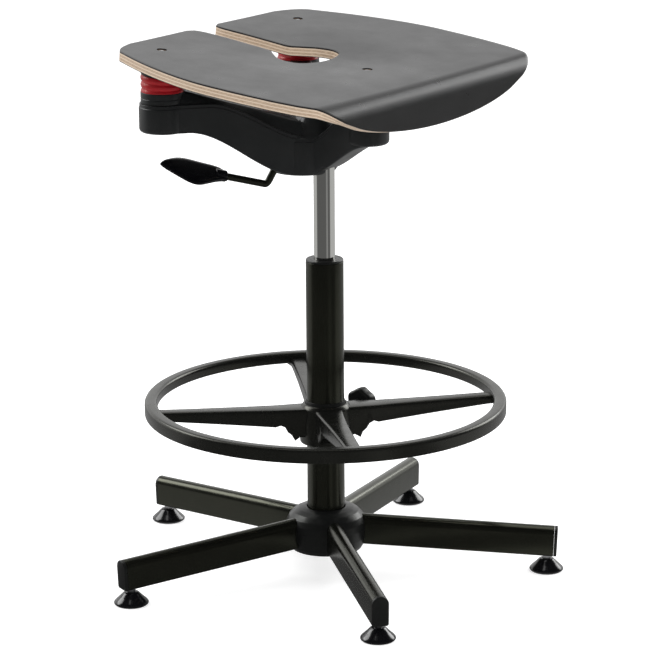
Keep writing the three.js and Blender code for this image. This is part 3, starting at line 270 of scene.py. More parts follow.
materials["plywoodEdge"] = plywoodEdge(plyLook)
slotOf = {
    "blackPaint": "black_paint", "blackPlastic": "black_plastic",
    "carrierPlastic": "black_plastic", "glossPlastic": "gloss_plastic",
    "ringPlastic": "ring_plastic", "chromePlate": "chrome", "zincSteel": "steel",
    "redRubber": "red_rubber", "seatLaminate": "seat_laminate", "plywoodEdge": "plywood",
}
finishOf = {slotName: finish for finish, slotName in reversed(slotOf.items())}
for row in frame["record"]["subparts"]:
    node = cadNodes[row["node"]]
    node.data.materials.clear()
    node.data.materials.append(materials[finishOf[row["material_slot"]]])
print("materials made")


# Mesh helpers

def faceOutwards(bm):
    bmesh.ops.recalc_face_normals(bm, faces=bm.faces)


def finishPiece(bm, name, body, finishName, stands=(), sharpAngle=38, place=None):
    bmesh.ops.remove_doubles(bm, verts=bm.verts, dist=0.0008)
    faceOutwards(bm)
    if place:
        bm.transform(place)
    bm.transform(toFrame)
    for face in bm.faces:
        face.smooth = True
    for edge in bm.edges:
        if len(edge.link_faces) == 2:
            edge.smooth = edge.calc_face_angle(0) < math.radians(sharpAngle)
    mesh = bpy.data.meshes.new(name)
    bm.to_mesh(mesh)
    bm.free()
    piece = linked(name, mesh)
    mesh.materials.append(materials[finishName])
    if body:
        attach(piece, body)
    if stands:
        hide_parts(*stands)
    return piece


def bevelEdges(bm, edges, size, segments=2, affect="EDGES"):
    bmesh.ops.bevel(bm, geom=list(edges), offset=size, offset_type="OFFSET", segments=segments,
                    profile=0.5, affect=affect, material=-1, clamp_overlap=True)


def span(edge, axis="x"):
    first, second = edge.verts
    return abs(getattr(first.co, axis) - getattr(second.co, axis))


def sharpEdges(bm):
    return [edge for edge in bm.edges if edge.calc_face_angle(0) > 1]


def spinRound(bm, steps):
    bmesh.ops.spin(bm, geom=bm.verts[:] + bm.edges[:], cent=(0, 0, 0), axis=(0, 0, 1),
                   dvec=(0, 0, 0), angle=2 * math.pi, steps=steps, use_merge=True,
                   use_duplicate=False)


# Turns a profile of (radius, height) about +Z. Its corners are rounded first, unless sharp.
def turn(bm, profile, steps=72, rounding=0.6, hollow=False, place=None):
    work = bmesh.new()
    verts = [work.verts.new((radius, 0, height)) for radius, height in profile]
    pairs = list(zip(verts, verts[1:] + verts[:1])) if hollow else list(zip(verts, verts[1:]))
    for pair in pairs:
        work.edges.new(pair)
    corners = verts if hollow else verts[1:-1]
    if rounding:
        bevelEdges(work, corners, rounding, 3, "VERTICES")
    spinRound(work, steps)
    bmesh.ops.remove_doubles(work, verts=work.verts, dist=0.0005)
    faceOutwards(work)
    if place:
        work.transform(place)
    addInto(bm, work)


def addInto(bm, work):
    mesh = bpy.data.meshes.new("part")
    work.to_mesh(mesh)
    work.free()
    bm.from_mesh(mesh)
    bpy.data.meshes.remove(mesh)


def turned(name, body, finishName, profile, stands=(), **how):
    bm = bmesh.new()
    turn(bm, profile, **how)
    return finishPiece(bm, name, body, finishName, stands)


# Carries a closed section through stations, edge by edge, and closes both ends
def sweep(bm, sections):
    work = bmesh.new()
    order = work.verts.layers.int.new("order")
    ring = [work.verts.new(point) for point in sections[0]]
    for place, vert in enumerate(ring):
        vert[order] = place
    edges = [work.edges.new(pair) for pair in zip(ring, ring[1:] + ring[:1])]
    for section in sections[1:]:
        grown = bmesh.ops.extrude_edge_only(work, edges=edges)["geom"]
        edges = [item for item in grown if isinstance(item, bmesh.types.BMEdge)
                 and item.is_boundary]
        for vert in {vert for edge in edges for vert in edge.verts}:
            vert.co = section[vert[order]]
    bmesh.ops.holes_fill(work, edges=[edge for edge in work.edges if edge.is_boundary])
    faceOutwards(work)
    addInto(bm, work)


# A copy of a CAD node with its sharp edges rounded
def roundedCopy(node, name, body, finishName, size, segments=2, angle=40):
    bm = bmesh.new()
    bm.from_mesh(cadNodes[node].data)
    bm.transform(toFrame.inverted())
    bmesh.ops.remove_doubles(bm, verts=bm.verts, dist=0.01)
    bmesh.ops.dissolve_limit(bm, angle_limit=math.radians(1), verts=bm.verts, edges=bm.edges)
    sharp = [edge for edge in bm.edges if len(edge.link_faces) == 2
             and edge.calc_face_angle(0) > math.radians(angle)]
    bevelEdges(bm, sharp, size, segments)
    return finishPiece(bm, name, body, finishName, [node], sharpAngle=50)


# Legs, end caps and glides

legs = {
    "count": 5, "firstTurn": 13.07, "reach": 306, "inner": 27, "width": 22, "height": 40,
    "rootTop": 76, "fall": 2.6, "bottomCorner": 3, "footReach": 295, "capThickness": 4.2,
    "capGap": 0.3, "capRounding": 1.1, "glideRounding": 1.2, "stemRounding": 0.5,
    "glideProfile": [(0, 0), (20.2, 0), (22.7, 2.2), (22.7, 3.9), (20.6, 6.2), (15.2, 11.2),
                     (11, 15.6), (9, 17.4), (5.9, 17.4)],
    "stemProfile": [(0, 8.4), (5.4, 8.4), (5.4, 47.6), (0, 47.6)],
}


def roundTopBox(length, start):
    work = bmesh.new()
    bmesh.ops.create_cube(work, size=1)
    bmesh.ops.scale(work, vec=(length, legs["width"], legs["height"]), verts=work.verts)
    bmesh.ops.translate(work, vec=(start + length / 2, 0, -legs["height"] / 2), verts=work.verts)
    alongEdges = [edge for edge in work.edges if span(edge) > length / 2]
    bevelEdges(work, [e for e in alongEdges if e.verts[0].co.z > -1], legs["width"] / 2 - 0.05, 10)
    low = [e for e in work.edges if max(v.co.z for v in e.verts) < 1 - legs["height"]
           and span(e) > length / 2]
    bevelEdges(work, low, legs["bottomCorner"], 4)
    return work


def buildLegs():
    for i in range(legs["count"]):
        spoke = rotation(legs["firstTurn"] + 360 / legs["count"] * i)
        falling = spoke @ shift(z=legs["rootTop"]) @ rotation(legs["fall"], "Y")
        tube = roundTopBox(legs["reach"] - legs["inner"], legs["inner"])
        finishPiece(tube, f"legTube{i + 1}", "base", "blackPaint", [f"leg_{i + 1}"], place=falling)
        cap = roundTopBox(legs["capThickness"], legs["reach"] + legs["capGap"])
        outer = [e for e in cap.edges if min(v.co.x for v in e.verts) > legs["reach"] + 1]
        bevelEdges(cap, outer, legs["capRounding"], 3)
        finishPiece(cap, f"legCap{i + 1}", "base", "blackPlastic", [f"leg_cap_{i + 1}"],
                    place=falling)
        foot = spoke @ shift(legs["footReach"], 0)
        turned(f"footGlide{i + 1}", f"foot_{i + 1}", "glossPlastic", legs["glideProfile"],
               [f"foot_glide_{i + 1}"], place=foot, rounding=legs["glideRounding"],
               steps=64)
        turned(f"footStem{i + 1}", f"foot_{i + 1}", "zincSteel", legs["stemProfile"],
               [f"foot_stem_{i + 1}"], place=foot, rounding=legs["stemRounding"],
               steps=32)


buildLegs()
print("legs built")

# Hub cover, column and gas spring

hub = {
    "outline": [(47.4, 27.4), (50.6, 33), (53.4, 43), (54.5, 56), (53.2, 65), (49.6, 72.4),
                (43.6, 78.4), (36.4, 82), (29, 83.8), (26.2, 84)],
    "wall": 2.4,
}
column = {
    "tube": [(22.6, 30.2), (25, 30.2), (25, 421), (22.6, 421)],
    "bush": [(14.4, 330), (22.1, 330), (22.1, 421.3), (24.9, 421.3), (24.9, 423), (24, 424),
             (20.6, 424), (20.1, 423.4), (19.5, 424), (14.4, 424)],
    "cylinder": [(11, 208.4), (14, 208.4), (14, 539), (13.1, 584.8), (3.4, 584.8), (3.4, 560.4),
                 (11, 560.4)],
    "rod": [(0, 26.4), (4, 26.4), (4, 47.4), (5, 47.4), (5, 384.6), (0, 384.6)],
}


def buildColumn():
    inner = [(radius - hub["wall"], height - (hub["wall"] if height > 60 else 0))
             for radius, height in hub["outline"]][:-1]
    turned("hubCover", "base", "blackPlastic",
           hub["outline"] + [(26.2, 81.4)] + inner[::-1], ["hub_cover"], hollow=True,
           rounding=1.6, steps=96)
    turned("columnTube", "base", "blackPaint", column["tube"], ["column_tube"], hollow=True,
           rounding=0.5, steps=96)
    turned("guideBush", "base", "blackPlastic", column["bush"], ["guide_bush"], hollow=True,
           rounding=0.3, steps=96)
    turned("gasCylinder", "lift", "chromePlate", column["cylinder"], ["pressure_cylinder"],
           hollow=True, rounding=0.4, steps=96)
    turned("gasRod", "rod", "zincSteel", column["rod"], ["piston_rod"], rounding=0.3, steps=40)


buildColumn()
print("column built")

# Foot ring with its clamp

footRing = {
    "radius": 239.9, "width": 17, "top": 235.2, "height": 19.3, "innerHeight": 14.6,
    "corner": 4.6, "lowCorner": 2.4,
    "spokes": 4, "firstSpoke": -43.75, "inner": 27.2, "stepOuter": 66, "stepInner": 40,
    "topNear": 223.5, "topFar": 228, "underFar": 217, "underNear": 199.5, "stepUnder": 185,
    "rootHalf": 21, "tipHalf": 10.5, "edge": 4, "tipFlare": 3,
    "flareStart": 215, "flareLength": 14, "cuts": 38, "steps": 180,
    "hub": [(26.9, 174.2), (34, 174.2), (36, 200), (33.5, 222), (29.5, 227.5), (26.9, 228)],
    "clampTurn": -3.5, "clampHeight": 209.6, "boss": (10, 30, 42),
    "bush": [(25.4, 174.2), (26.6, 174.2), (26.6, 227.5), (25.7, 231.8), (25.3, 231.8)],
    "knob": {"face": 84, "thickness": 16, "radius": 21.3, "lobes": 6, "lobeDepth": 2,
             "rounding": 4, "neck": (7, 60, 74), "screw": (4, 33.2, 74)},
}


def spokeSection(reach):
    s = footRing
    outwards = (reach - s["stepOuter"]) / (s["radius"] - s["stepOuter"])
    step = ease((reach - s["stepInner"]) / (s["stepOuter"] - s["stepInner"]))
    under = (mix(s["underNear"], s["underFar"], outwards) if outwards > 0
             else mix(s["stepUnder"], s["underNear"], step))
    top = mix(s["topNear"], s["topFar"], max(outwards, 0))
    half = mix(s["tipHalf"], s["rootHalf"], (1 - reach / s["radius"]) ** 2)
    half += s["tipFlare"] * max(0, (reach - s["flareStart"]) / s["flareLength"]) ** 2
    return half, under, top


def buildSpoke(bm, angle):
    s = footRing
    work = bmesh.new()
    bmesh.ops.create_cube(work, size=1)
    outer = s["radius"] - s["width"] / 2
    lengthwise = [e for e in work.edges if span(e) > 0.5]
    bmesh.ops.subdivide_edges(work, edges=lengthwise, cuts=s["cuts"], use_grid_fill=True)
    for vert in work.verts:
        reach = mix(s["inner"], outer, vert.co.x + 0.5)
        half, under, top = spokeSection(reach)
        vert.co = (reach, math.copysign(half, vert.co.y), top if vert.co.z > 0 else under)
    corners = [e for e in work.edges if span(e) > 0.1 and e.calc_face_angle(0) > 0.8]
    bevelEdges(work, corners, s["edge"], 3)
    work.transform(rotation(angle))
    addInto(bm, work)


def barAlong(bm, radius, start, end, place, bevelSize=0.8):
    work = bmesh.new()
    bmesh.ops.create_cone(work, cap_ends=True, segments=40, radius1=radius, radius2=radius,
                          depth=end - start)
    bevelEdges(work, sharpEdges(work), bevelSize, 3)
    work.transform(place @ rotation(90, "Y") @ shift(z=(start + end) / 2))
    addInto(bm, work)


def buildFootRing():
    s = footRing
    bm = bmesh.new()
    inner, bottom = s["radius"] - s["width"], s["top"] - s["height"]
    work = bmesh.new()
    square = [(inner, s["top"] - s["innerHeight"]), (s["radius"], bottom),
              (s["radius"], s["top"]), (inner, s["top"])]
    verts = [work.verts.new((x, 0, z)) for x, z in square]
    for pair in zip(verts, verts[1:] + verts[:1]):
        work.edges.new(pair)
    bevelEdges(work, verts[2:], s["corner"], 5, "VERTICES")
    low = [v for v in work.verts if v.co.z < s["top"] - s["innerHeight"] + 0.1]
    bevelEdges(work, low, s["lowCorner"], 4, "VERTICES")
    spinRound(work, s["steps"])
    addInto(bm, work)
    for i in range(s["spokes"]):
        buildSpoke(bm, s["firstSpoke"] + 90 * i)
    turn(bm, s["hub"], hollow=True, rounding=2.6, steps=96)
    clamp = rotation(s["clampTurn"]) @ shift(z=s["clampHeight"])
    barAlong(bm, *s["boss"], clamp, 1.4)
    finishPiece(bm, "footRingMoulding", "foot_ring", "ringPlastic", ["foot_ring"])
    turned("ringBush", "foot_ring", "blackPlastic", s["bush"], ["ring_bush"], hollow=True,
           rounding=0.3, steps=96)
    buildKnob(clamp)


def buildKnob(clamp):
    k = footRing["knob"]
    bm = bmesh.new()
    work = bmesh.new()
    made = bmesh.ops.create_cone(work, cap_ends=True, segments=72, radius1=k["radius"],
                                 radius2=k["radius"], depth=k["thickness"])
    for vert in made["verts"]:
        angle = math.atan2(vert.co.y, vert.co.x)
        vert.co.xy *= 1 - k["lobeDepth"] / k["radius"] * (1 - math.cos(k["lobes"] * angle)) / 2
    bevelEdges(work, sharpEdges(work), k["rounding"], 5)
    work.transform(clamp @ rotation(90, "Y") @ shift(z=k["face"] - k["thickness"] / 2))
    addInto(bm, work)
    barAlong(bm, *k["neck"], clamp, 1.0)
    finishPiece(bm, "clampKnob", "clamp_knob", "blackPlastic", ["clamp_knob"])
    bm = bmesh.new()
    barAlong(bm, *k["screw"], clamp, 0.5)
    finishPiece(bm, "clampScrew", "clamp_knob", "zincSteel", ["clamp_screw"])


buildFootRing()
print("foot ring built")

# Carrier: pot, three arms and their cups

carrier = {
    "pot": {"cup": (0, 34), "radius": 45, "top": 589, "bottom": 539, "steps": 96},
    "rear": {"cup": (145.2, 149.6), "radius": 31.2, "top": 638.8, "bottom": 601, "bore": 24,
             "floor": 612, "topShares": (0.28, 0.96), "underShares": (0.15, 0.86), "past": 0,
             "steps": 80},
    "front": {"cup": (0, -70.3), "radius": 28, "top": 626, "bottom": 586, "bore": 22.3,
              "floor": 600, "topShares": (0.15, 0.9), "underShares": (-0.2, 1), "past": 0.2,
              "steps": 80},
    "armRoot": (0, 13, 0),
    "halfWidth": 27, "waist": 3, "edge": 5, "ledgeDrop": 5, "ledgeInset": 0.8,
    "stations": 44,
    "ridge": {"start": 654, "end": 611, "shares": (0.145, 0.87), "inset": 3.2,
              "collarRadius": 28.9, "capRadius": 27.7, "stations": 36,
              "outline": [(1, -0.06), (0.985, 0.06), (0.93, 0.24), (0.68, 0.84), (0.6, 0.95),
                          (0.48, 1), (0.2, 1.01)]},
}


def armHeights(share, arm):
    def eased(start, end):
        return ease((share - start) / (end - start))

    return (mix(arm["top"], carrier["pot"]["top"], eased(*arm["topShares"])),
            mix(arm["bottom"], carrier["pot"]["bottom"], eased(*arm["underShares"])))


# Rounded lower corner of an arm or a cup
def underCorner(out, bottom):
    edge = carrier["edge"]
    return [(out - edge + edge * math.sin(turning), bottom + edge - edge * math.cos(turning))
            for turning in (0, 0.39, 0.79, 1.18, 1.57)]


def armSections(arm, centre):
    c = carrier
    root = Vector(c["armRoot"])
    end = Vector((*centre, 0))
    along = end - root
    across = Vector((-along.y, along.x, 0)).normalized()
    sections = []
    for i in range(c["stations"]):
        share = mix(-arm["past"], 1, i / (c["stations"] - 1))
        high, low = armHeights(share, arm)
        beyond = max(0, -share) * along.length
        chord = math.sqrt(arm["radius"] ** 2 - beyond ** 2) - 2 * c["ledgeInset"]
        half = min(c["halfWidth"] - c["waist"] * math.sin(math.pi * max(0, share)), chord)
        side = underCorner(half, low)
        ledge, inset = high - c["ledgeDrop"], half - c["ledgeInset"]
        side += [(half, ledge), (inset, ledge + 0.4), (inset, high - 0.8), (inset - 0.8, high)]
        outline = side + [(-x, z) for x, z in reversed(side)]
        middle = end - along * share
        sections.append([middle + across * x + up * z for x, z in outline])
    return sections


# Raised rib along a rear arm, from the collar's round edge to the centre cap's
def armRidge(bm, centre):
    c, r = carrier, carrier["ridge"]
    root, end = Vector(c["armRoot"]), Vector((*centre, 0))
    along = end - root
    across = Vector((-along.y, along.x, 0)).normalized()
    outline = r["outline"] + [(-reach, rise) for reach, rise in reversed(r["outline"])]
    sections = []
    for i in range(r["stations"]):
        ring = []
        for reach, rise in outline:
            share = mix(*r["shares"], i / (r["stations"] - 1))
            half = c["halfWidth"] - c["waist"] * math.sin(math.pi * share) - r["inset"]
            first = math.sqrt(r["collarRadius"] ** 2 - (half * reach) ** 2) / along.length
            last = 1 - math.sqrt(r["capRadius"] ** 2 - (half * reach) ** 2) / along.length
            share = mix(first, last, i / (r["stations"] - 1))
            base, _ = armHeights(share, c["rear"])
            crest = mix(r["start"], r["end"],
                        (share - r["shares"][0]) / (r["shares"][1] - r["shares"][0]))
            ring.append(end - along * share + across * half * reach + up * mix(base, crest, rise))
        sections.append(ring)
    sweep(bm, sections)


def cupProfile(part):
    c = carrier
    radius, top = part["radius"], part["top"]
    ledge, inset = top - c["ledgeDrop"], radius - c["ledgeInset"]
    inside = [(0, top)]
    if "bore" in part:
        inside = [(part["bore"], top), (part["bore"], part["floor"]), (0, part["floor"])]
    return [(0, part["bottom"]), *underCorner(radius, part["bottom"]), (radius, ledge),
            (inset, ledge + 0.4), (inset, top), *inside]


def buildCarrier():
    pot, rear, front = (carrier[name] for name in ("pot", "rear", "front"))
    x, y = rear["cup"]
    bm = bmesh.new()
    for part, centre in ((pot, pot["cup"]), (rear, (-x, y)), (rear, (x, y)),
                         (front, front["cup"])):
        if part is not pot:
            sweep(bm, armSections(part, centre))
        if part is rear:
            armRidge(bm, centre)
        turn(bm, cupProfile(part), rounding=0.5, steps=part["steps"], place=shift(*centre))
    finishPiece(bm, "carrierHousing", "lift", "carrierPlastic", ["carrier"], sharpAngle=32)


buildCarrier()

centreCap = {
    "back": 13, "radius": 27.3, "bottom": 589.3, "height": 34.7,
    "shares": [(1.2, 0), (1.2, 0.06), (0.98, 0.28), (0.84, 0.46), (0.66, 0.68), (0.56, 0.85),
               (0.34, 0.97), (0, 1)],
}
turned("centreCap", "lift", "carrierPlastic",
       [(centreCap["radius"] * across, centreCap["bottom"] + centreCap["height"] * rise)
        for across, rise in centreCap["shares"]], ["centre_cap"], rounding=2.4, steps=72,
       place=shift(0, centreCap["back"]))
print("carrier built")

# Rear posts: collars, bellows and springs. Each bellows and spring is made as a lower and an upper
# piece that meet at mid-height.

seatPlane = {"height": 692.04, "slope": 5.48}
slope = math.radians(seatPlane["slope"])
posts = {
    "collar": [(21.1, 629), (23.6, 629), (23.6, 639.2), (28.6, 639.2), (28.6, 645.2), (28, 645.8),
               (28.6, 646.4), (28.6, 653.2), (28.2, 653.6), (21.1, 653.6)],
    "bottom": 653.9, "ribs": 2.5, "crest": 28.3, "valley": 26.8, "bore": 23.8, "splitShare": 0.5,
    # The black ring under the seat at each bellows top is a painted shadow from the seat's edge.
    "topDepth": 31.8, "flange": {"radius": 28, "under": 13.2, "height": 18.4},
    "sharpness": 0.6, "wallSteps": 40, "springSides": 14, "stepsPerTurn": 28,
    "springRadius": 17, "springWire": 1.75, "springTurns": 5,
    "springBottom": 614.1, "springTopDepth": 22,
}


def planeHeight(y, depth):
    return seatPlane["height"] + y * math.tan(slope) - depth / math.cos(slope)


# Stretches a part's heights so that its top follows the leaning underside of the seat
def leanTop(work, bottom, top, depth):
    for vert in work.verts:
        share = (vert.co.z - bottom) / (top - bottom)
        vert.co.z = mix(bottom, planeHeight(vert.co.y, depth), share)


def bellowsPart(centre, name, shares):
    p = posts
    x, y = centre
    depth = p["topDepth"] - seatLift(x, -y) + 0.6
    top = planeHeight(y, depth)
    count = p["wallSteps"]
    wall = []
    for i in range(count + 1):
        share = mix(*shares, i / count)
        swell = (1 + math.cos(2 * math.pi * p["ribs"] * share)) / 2
        wall.append((mix(p["valley"], p["crest"], swell ** p["sharpness"]),
                     mix(p["bottom"], top, share)))
    profile = wall + [(p["bore"], wall[-1][1]), (p["bore"], wall[0][1])]
    bm = bmesh.new()
    turn(bm, profile, hollow=True, rounding=0, steps=96, place=shift(x, y))
    leanTop(bm, p["bottom"], top, depth)
    return finishPiece(bm, name, None, "redRubber"), top


# Black ring under the seat round each bellows top: a painted shadow, dark where the seat's edge
# shades the bellows.
def buildShadowRing(centre, name):
    f = posts["flange"]
    x, y = centre
    lift = seatLift(x, -y)
    high = planeHeight(y, f["under"] - lift)
    low = high - f["height"]
    bm = bmesh.new()
    bore = posts["bore"]
    turn(bm, [(bore, low), (f["radius"], low), (f["radius"], high), (bore, high)],
         hollow=True, rounding=0.6, steps=96, place=shift(x, y))
    for vert in bm.verts:
        vert.co.z += (vert.co.y - y) * math.tan(slope)
    finishPiece(bm, name, "seat", "blackPlastic")


def springPart(centre, name, shares):
    p = posts
    x, y = centre
    depth = p["springTopDepth"]
    top = planeHeight(y, depth)
    turns = p["springTurns"] * (shares[1] - shares[0])
    low, high = (mix(p["springBottom"], top, share) for share in shares)
    bm = bmesh.new()
    bmesh.ops.create_circle(bm, cap_ends=False, segments=p["springSides"],
                            radius=p["springWire"])
    steps = int(turns * p["stepsPerTurn"])
    placed = shift(p["springRadius"], 0, low) @ rotation(90, "X")
    bm.transform(placed)
    bmesh.ops.spin(bm, geom=bm.verts[:] + bm.edges[:], cent=(0, 0, 0), axis=(0, 0, 1),
                   dvec=(0, 0, (high - low) / steps), angle=2 * math.pi * turns, steps=steps,
                   use_merge=False, use_duplicate=False)
    bmesh.ops.holes_fill(bm, edges=[e for e in bm.edges if e.is_boundary])
    bm.transform(shift(x, y)
                 @ Matrix.Rotation(2 * math.pi * p["springTurns"] * shares[0], 4, "Z"))
    leanTop(bm, p["springBottom"], top, depth)
    return finishPiece(bm, name, None, "zincSteel"), top


seat = {
    "thickness": 13, "laminate": 1.7, "underLaminate": 0.8, "halfWidth": 251, "rear": 200,
    "rise": 2.7,
    "dimple": 4.5, "dimpleCentre": 5, "dimpleHalf": 150, "dimpleRear": 200, "dimpleFront": 145,
    "bendStart": 155.7, "bendRadius": 26, "bendAngle": 74, "front": 221,
    "shoulder": (239, 145), "shoulderPull": 73.5, "shoulderTurn": 15.5, "noseHalf": 50,
    "noseShare": 0.49, "holeHalf": 49.5, "columns": 44, "bendRows": 12, "noseRows": 5,
    "edgeRound": 0.42,
    "screws": {"left": (145.2, -150.3), "right": (-145.2, -150.3), "front": (0, 70.6)},
    "drill": [(0, -20), (3.3, -20), (3.3, -4.8), (6.8, -4.8), (6.8, 4), (0, 4)],
    "screwProfile": [(0, -25), (3, -25), (3, -4.6), (4.4, -4.6), (4.4, -2.4),
                                       (3.2, -1.3), (0, -0.9)],
    "rows": [],
}


def seatLift(across, forward):
    s = seat
    reach = s["dimpleRear"] if forward < s["dimpleCentre"] else s["dimpleFront"]
    fadeAcross = math.cos(math.pi / 2 * min(1, abs(across / s["dimpleHalf"]))) ** 2
    fadeAlong = math.cos(math.pi / 2 * min(1, abs((forward - s["dimpleCentre"]) / reach))) ** 2
    return s["rise"] * (across / s["halfWidth"]) ** 2 - s["dimple"] * fadeAcross * fadeAlong


def onSeat(across, forward, depth):
    s = seat
    offset = seatLift(across, forward) - depth
    if forward <= s["bendStart"]:
        return Vector((across, -forward, offset))
    bend = math.radians(s["bendAngle"])
    turning = min((forward - s["bendStart"]) / s["bendRadius"], bend)
    rest = max(0, forward - s["bendStart"] - s["bendRadius"] * bend)
    radius = s["bendRadius"] + offset
    return Vector((across,
                   -(s["bendStart"] + radius * math.sin(turning) + rest * math.cos(turning)),
                   radius * math.cos(turning) - s["bendRadius"] - rest * math.sin(turning)))


seat["rows"] = [
    (-1, 0.667, -0.985, 0.61), (-0.975, 0.47, -0.945, 0.713), (-0.9, 0.384, -0.885, 0.786),
    (-0.8, 0.376, -0.825, 0.812), (-0.6752, 0.376, -0.76, 0.836), (-0.5254, 0.384, -0.625, 0.882),
    (-0.3649, 0.394, -0.5, 0.918), (-0.2996, 0.586, -0.374, 0.948), (-0.2247, 0.838, -0.26, 0.971),
    (-0.1701, 0.95, -0.18, 0.984), (-0.1102, 1, -0.11, 0.992), (-0.0599, 0.95, -0.04, 0.998),
    (-0.0203, 0.808, 0.03, 1), (0.0048, 0.545, 0.11, 0.999), (0.0198, 0.283, 0.2, 0.998),
    (0.025, 0, 0.31, 0.994), (0.2001, 0, 0.425, 0.987), (0.4248, 0, 0.56, 0.976),
    (0.6495, 0, 0.69, 0.958),
]


def frontEdgeAt(share):
    s = seat
    x, y = s["shoulder"]
    pull, turning = s["shoulderPull"], math.radians(s["shoulderTurn"])
    points = [(x, y), (x - pull * math.sin(turning), y + pull * math.cos(turning)),
              (s["noseHalf"], s["front"]), (0, s["front"])]
    rest = 1 - share
    weights = [rest ** 3, 3 * share * rest ** 2, 3 * share ** 2 * rest, share ** 3]
    return [sum(w * point[k] for w, point in zip(weights, points)) for k in (0, 1)]


def frontShareAt(forward):
    low, high = 0, 1
    for _ in range(30):
        middle = (low + high) / 2
        low, high = (middle, high) if frontEdgeAt(middle)[1] < forward else (low, middle)
    return low


# Smooth curve through four neighbouring values
def smoothStep(a, b, c, d, share):
    cubic = 3 * (b - c) + d - a
    return b + share / 2 * (c - a + share * (2 * a - 5 * b + 4 * c - d + share * cubic))


# Grid rows from the slot or the middle to the outer edge, as (across, forward) pairs
def seatRows():
    s = seat
    columns = s["columns"]
    scales = (s["rear"], s["holeHalf"], s["rear"], s["halfWidth"])
    ends = [tuple(v * k for v, k in zip(row, scales)) for row in s["rows"]]

    def straight(inner, outer):
        return [(mix(inner[0], outer[0], i / columns), mix(inner[1], outer[1], i / columns))
                for i in range(columns + 1)]

    rows = []
    for i, end in enumerate(ends[:-1]):
        near = [ends[max(i - 1, 0)], end, ends[i + 1], ends[min(i + 2, len(ends) - 1)]]
        pointed = near[2][1] == 0 or i == 0
        for part in range(4):
            share = part / 4
            values = [mix(near[1][k], near[2][k], share) if pointed and k < 2
                      else smoothStep(*(row[k] for row in near), share) for k in range(4)]
            rows.append(straight((max(values[1], 0), values[0]),
                                 (min(values[3], s["halfWidth"]), values[2])))
    rows.append(straight((ends[-1][1], ends[-1][0]), (ends[-1][3], ends[-1][2])))
    bend = math.radians(s["bendAngle"])
    for i in range(s["bendRows"] + 1):
        forward = s["bendStart"] + s["bendRadius"] * bend * i / s["bendRows"]
        rows.append(straight((0, forward), (frontEdgeAt(frontShareAt(forward))[0], forward)))
    bendEnd = frontShareAt(s["bendStart"] + s["bendRadius"] * bend)
    flapShare = mix(bendEnd, s["noseShare"], 0.5)
    flap = frontEdgeAt(flapShare)
    base = straight((0, flap[1]), flap)
    rows.append(base)
    nose = [frontEdgeAt(mix(1, s["noseShare"], i / columns)) for i in range(columns + 1)]
    for step in range(s["noseRows"]):
        share = (step + 1) / s["noseRows"]
        corner = frontEdgeAt(mix(flapShare, s["noseShare"], share))
        off = [corner[k] - mix(base[-1][k], nose[-1][k], share) for k in (0, 1)]
        rows.append([tuple(mix(base[i][k], nose[i][k], share) + off[k] * i / columns
                           for k in (0, 1)) for i in range(columns + 1)])
    return rows


# A layer of the seat between two depths, drilled for the screws
def seatLayer(topDepth, underDepth, roundTop, roundUnder):
    s = seat
    rows = seatRows()
    bm = bmesh.new()
    bmesh.ops.create_grid(bm, x_segments=s["columns"], y_segments=len(rows) - 1, size=1)
    for vert in bm.verts:
        row = rows[round((vert.co.y + 1) / 2 * (len(rows) - 1))]
        across, forward = row[round((vert.co.x + 1) / 2 * s["columns"])]
        vert.co = (across, forward, 0)
    bmesh.ops.mirror(bm, geom=bm.verts[:] + bm.edges[:] + bm.faces[:], merge_dist=0.02, axis="X")
    bmesh.ops.remove_doubles(bm, verts=bm.verts, dist=0.01)
    faceOutwards(bm)
    grown = bmesh.ops.extrude_face_region(bm, geom=bm.faces[:], use_keep_orig=True)
    under = {item for item in grown["geom"] if isinstance(item, bmesh.types.BMVert)}
    for vert in bm.verts:
        vert.co.z = -underDepth if vert in under else -topDepth
    faceOutwards(bm)
    rims = [e for e in sharpEdges(bm) if span(e, "z") < 0.01]
    for height, size in ((-topDepth, roundTop), (-underDepth, roundUnder)):
        chosen = [e for e in rims if e.is_valid and abs(e.verts[0].co.z - height) < 0.01]
        if size:
            bevelEdges(bm, chosen, size, 2)
    depthLayer = bm.verts.layers.float.new("plyDepth")
    for vert in bm.verts:
        vert[depthLayer] = -vert.co.z / s["thickness"]
        vert.co = onSeat(vert.co.x, vert.co.y, -vert.co.z)
    faceOutwards(bm)
    return drilled(bm)


def drilled(bm):
    s = seat
    tool = bmesh.new()
    for across, forward in s["screws"].values():
        face = seatLift(across, forward)
        turn(tool, [(radius, face + height) for radius, height in s["drill"]], rounding=0,
             steps=48, place=shift(across, -forward))
    pair = []
    for name, mesh in (("drilledLayer", bm), ("drill", tool)):
        data = bpy.data.meshes.new(name)
        mesh.to_mesh(data)
        mesh.free()
        pair.append(linked(name, data))
    layer, drill = pair
    cut = layer.modifiers.new("screwHoles", "BOOLEAN")
    cut.operation, cut.solver, cut.object = "DIFFERENCE", "EXACT", drill
    ready = layer.evaluated_get(bpy.context.evaluated_depsgraph_get())
    result = bmesh.new()
    result.from_mesh(ready.to_mesh())
    ready.to_mesh_clear()
    for item in pair:
        data = item.data
        bpy.data.objects.remove(item)
        bpy.data.meshes.remove(data)
    return result


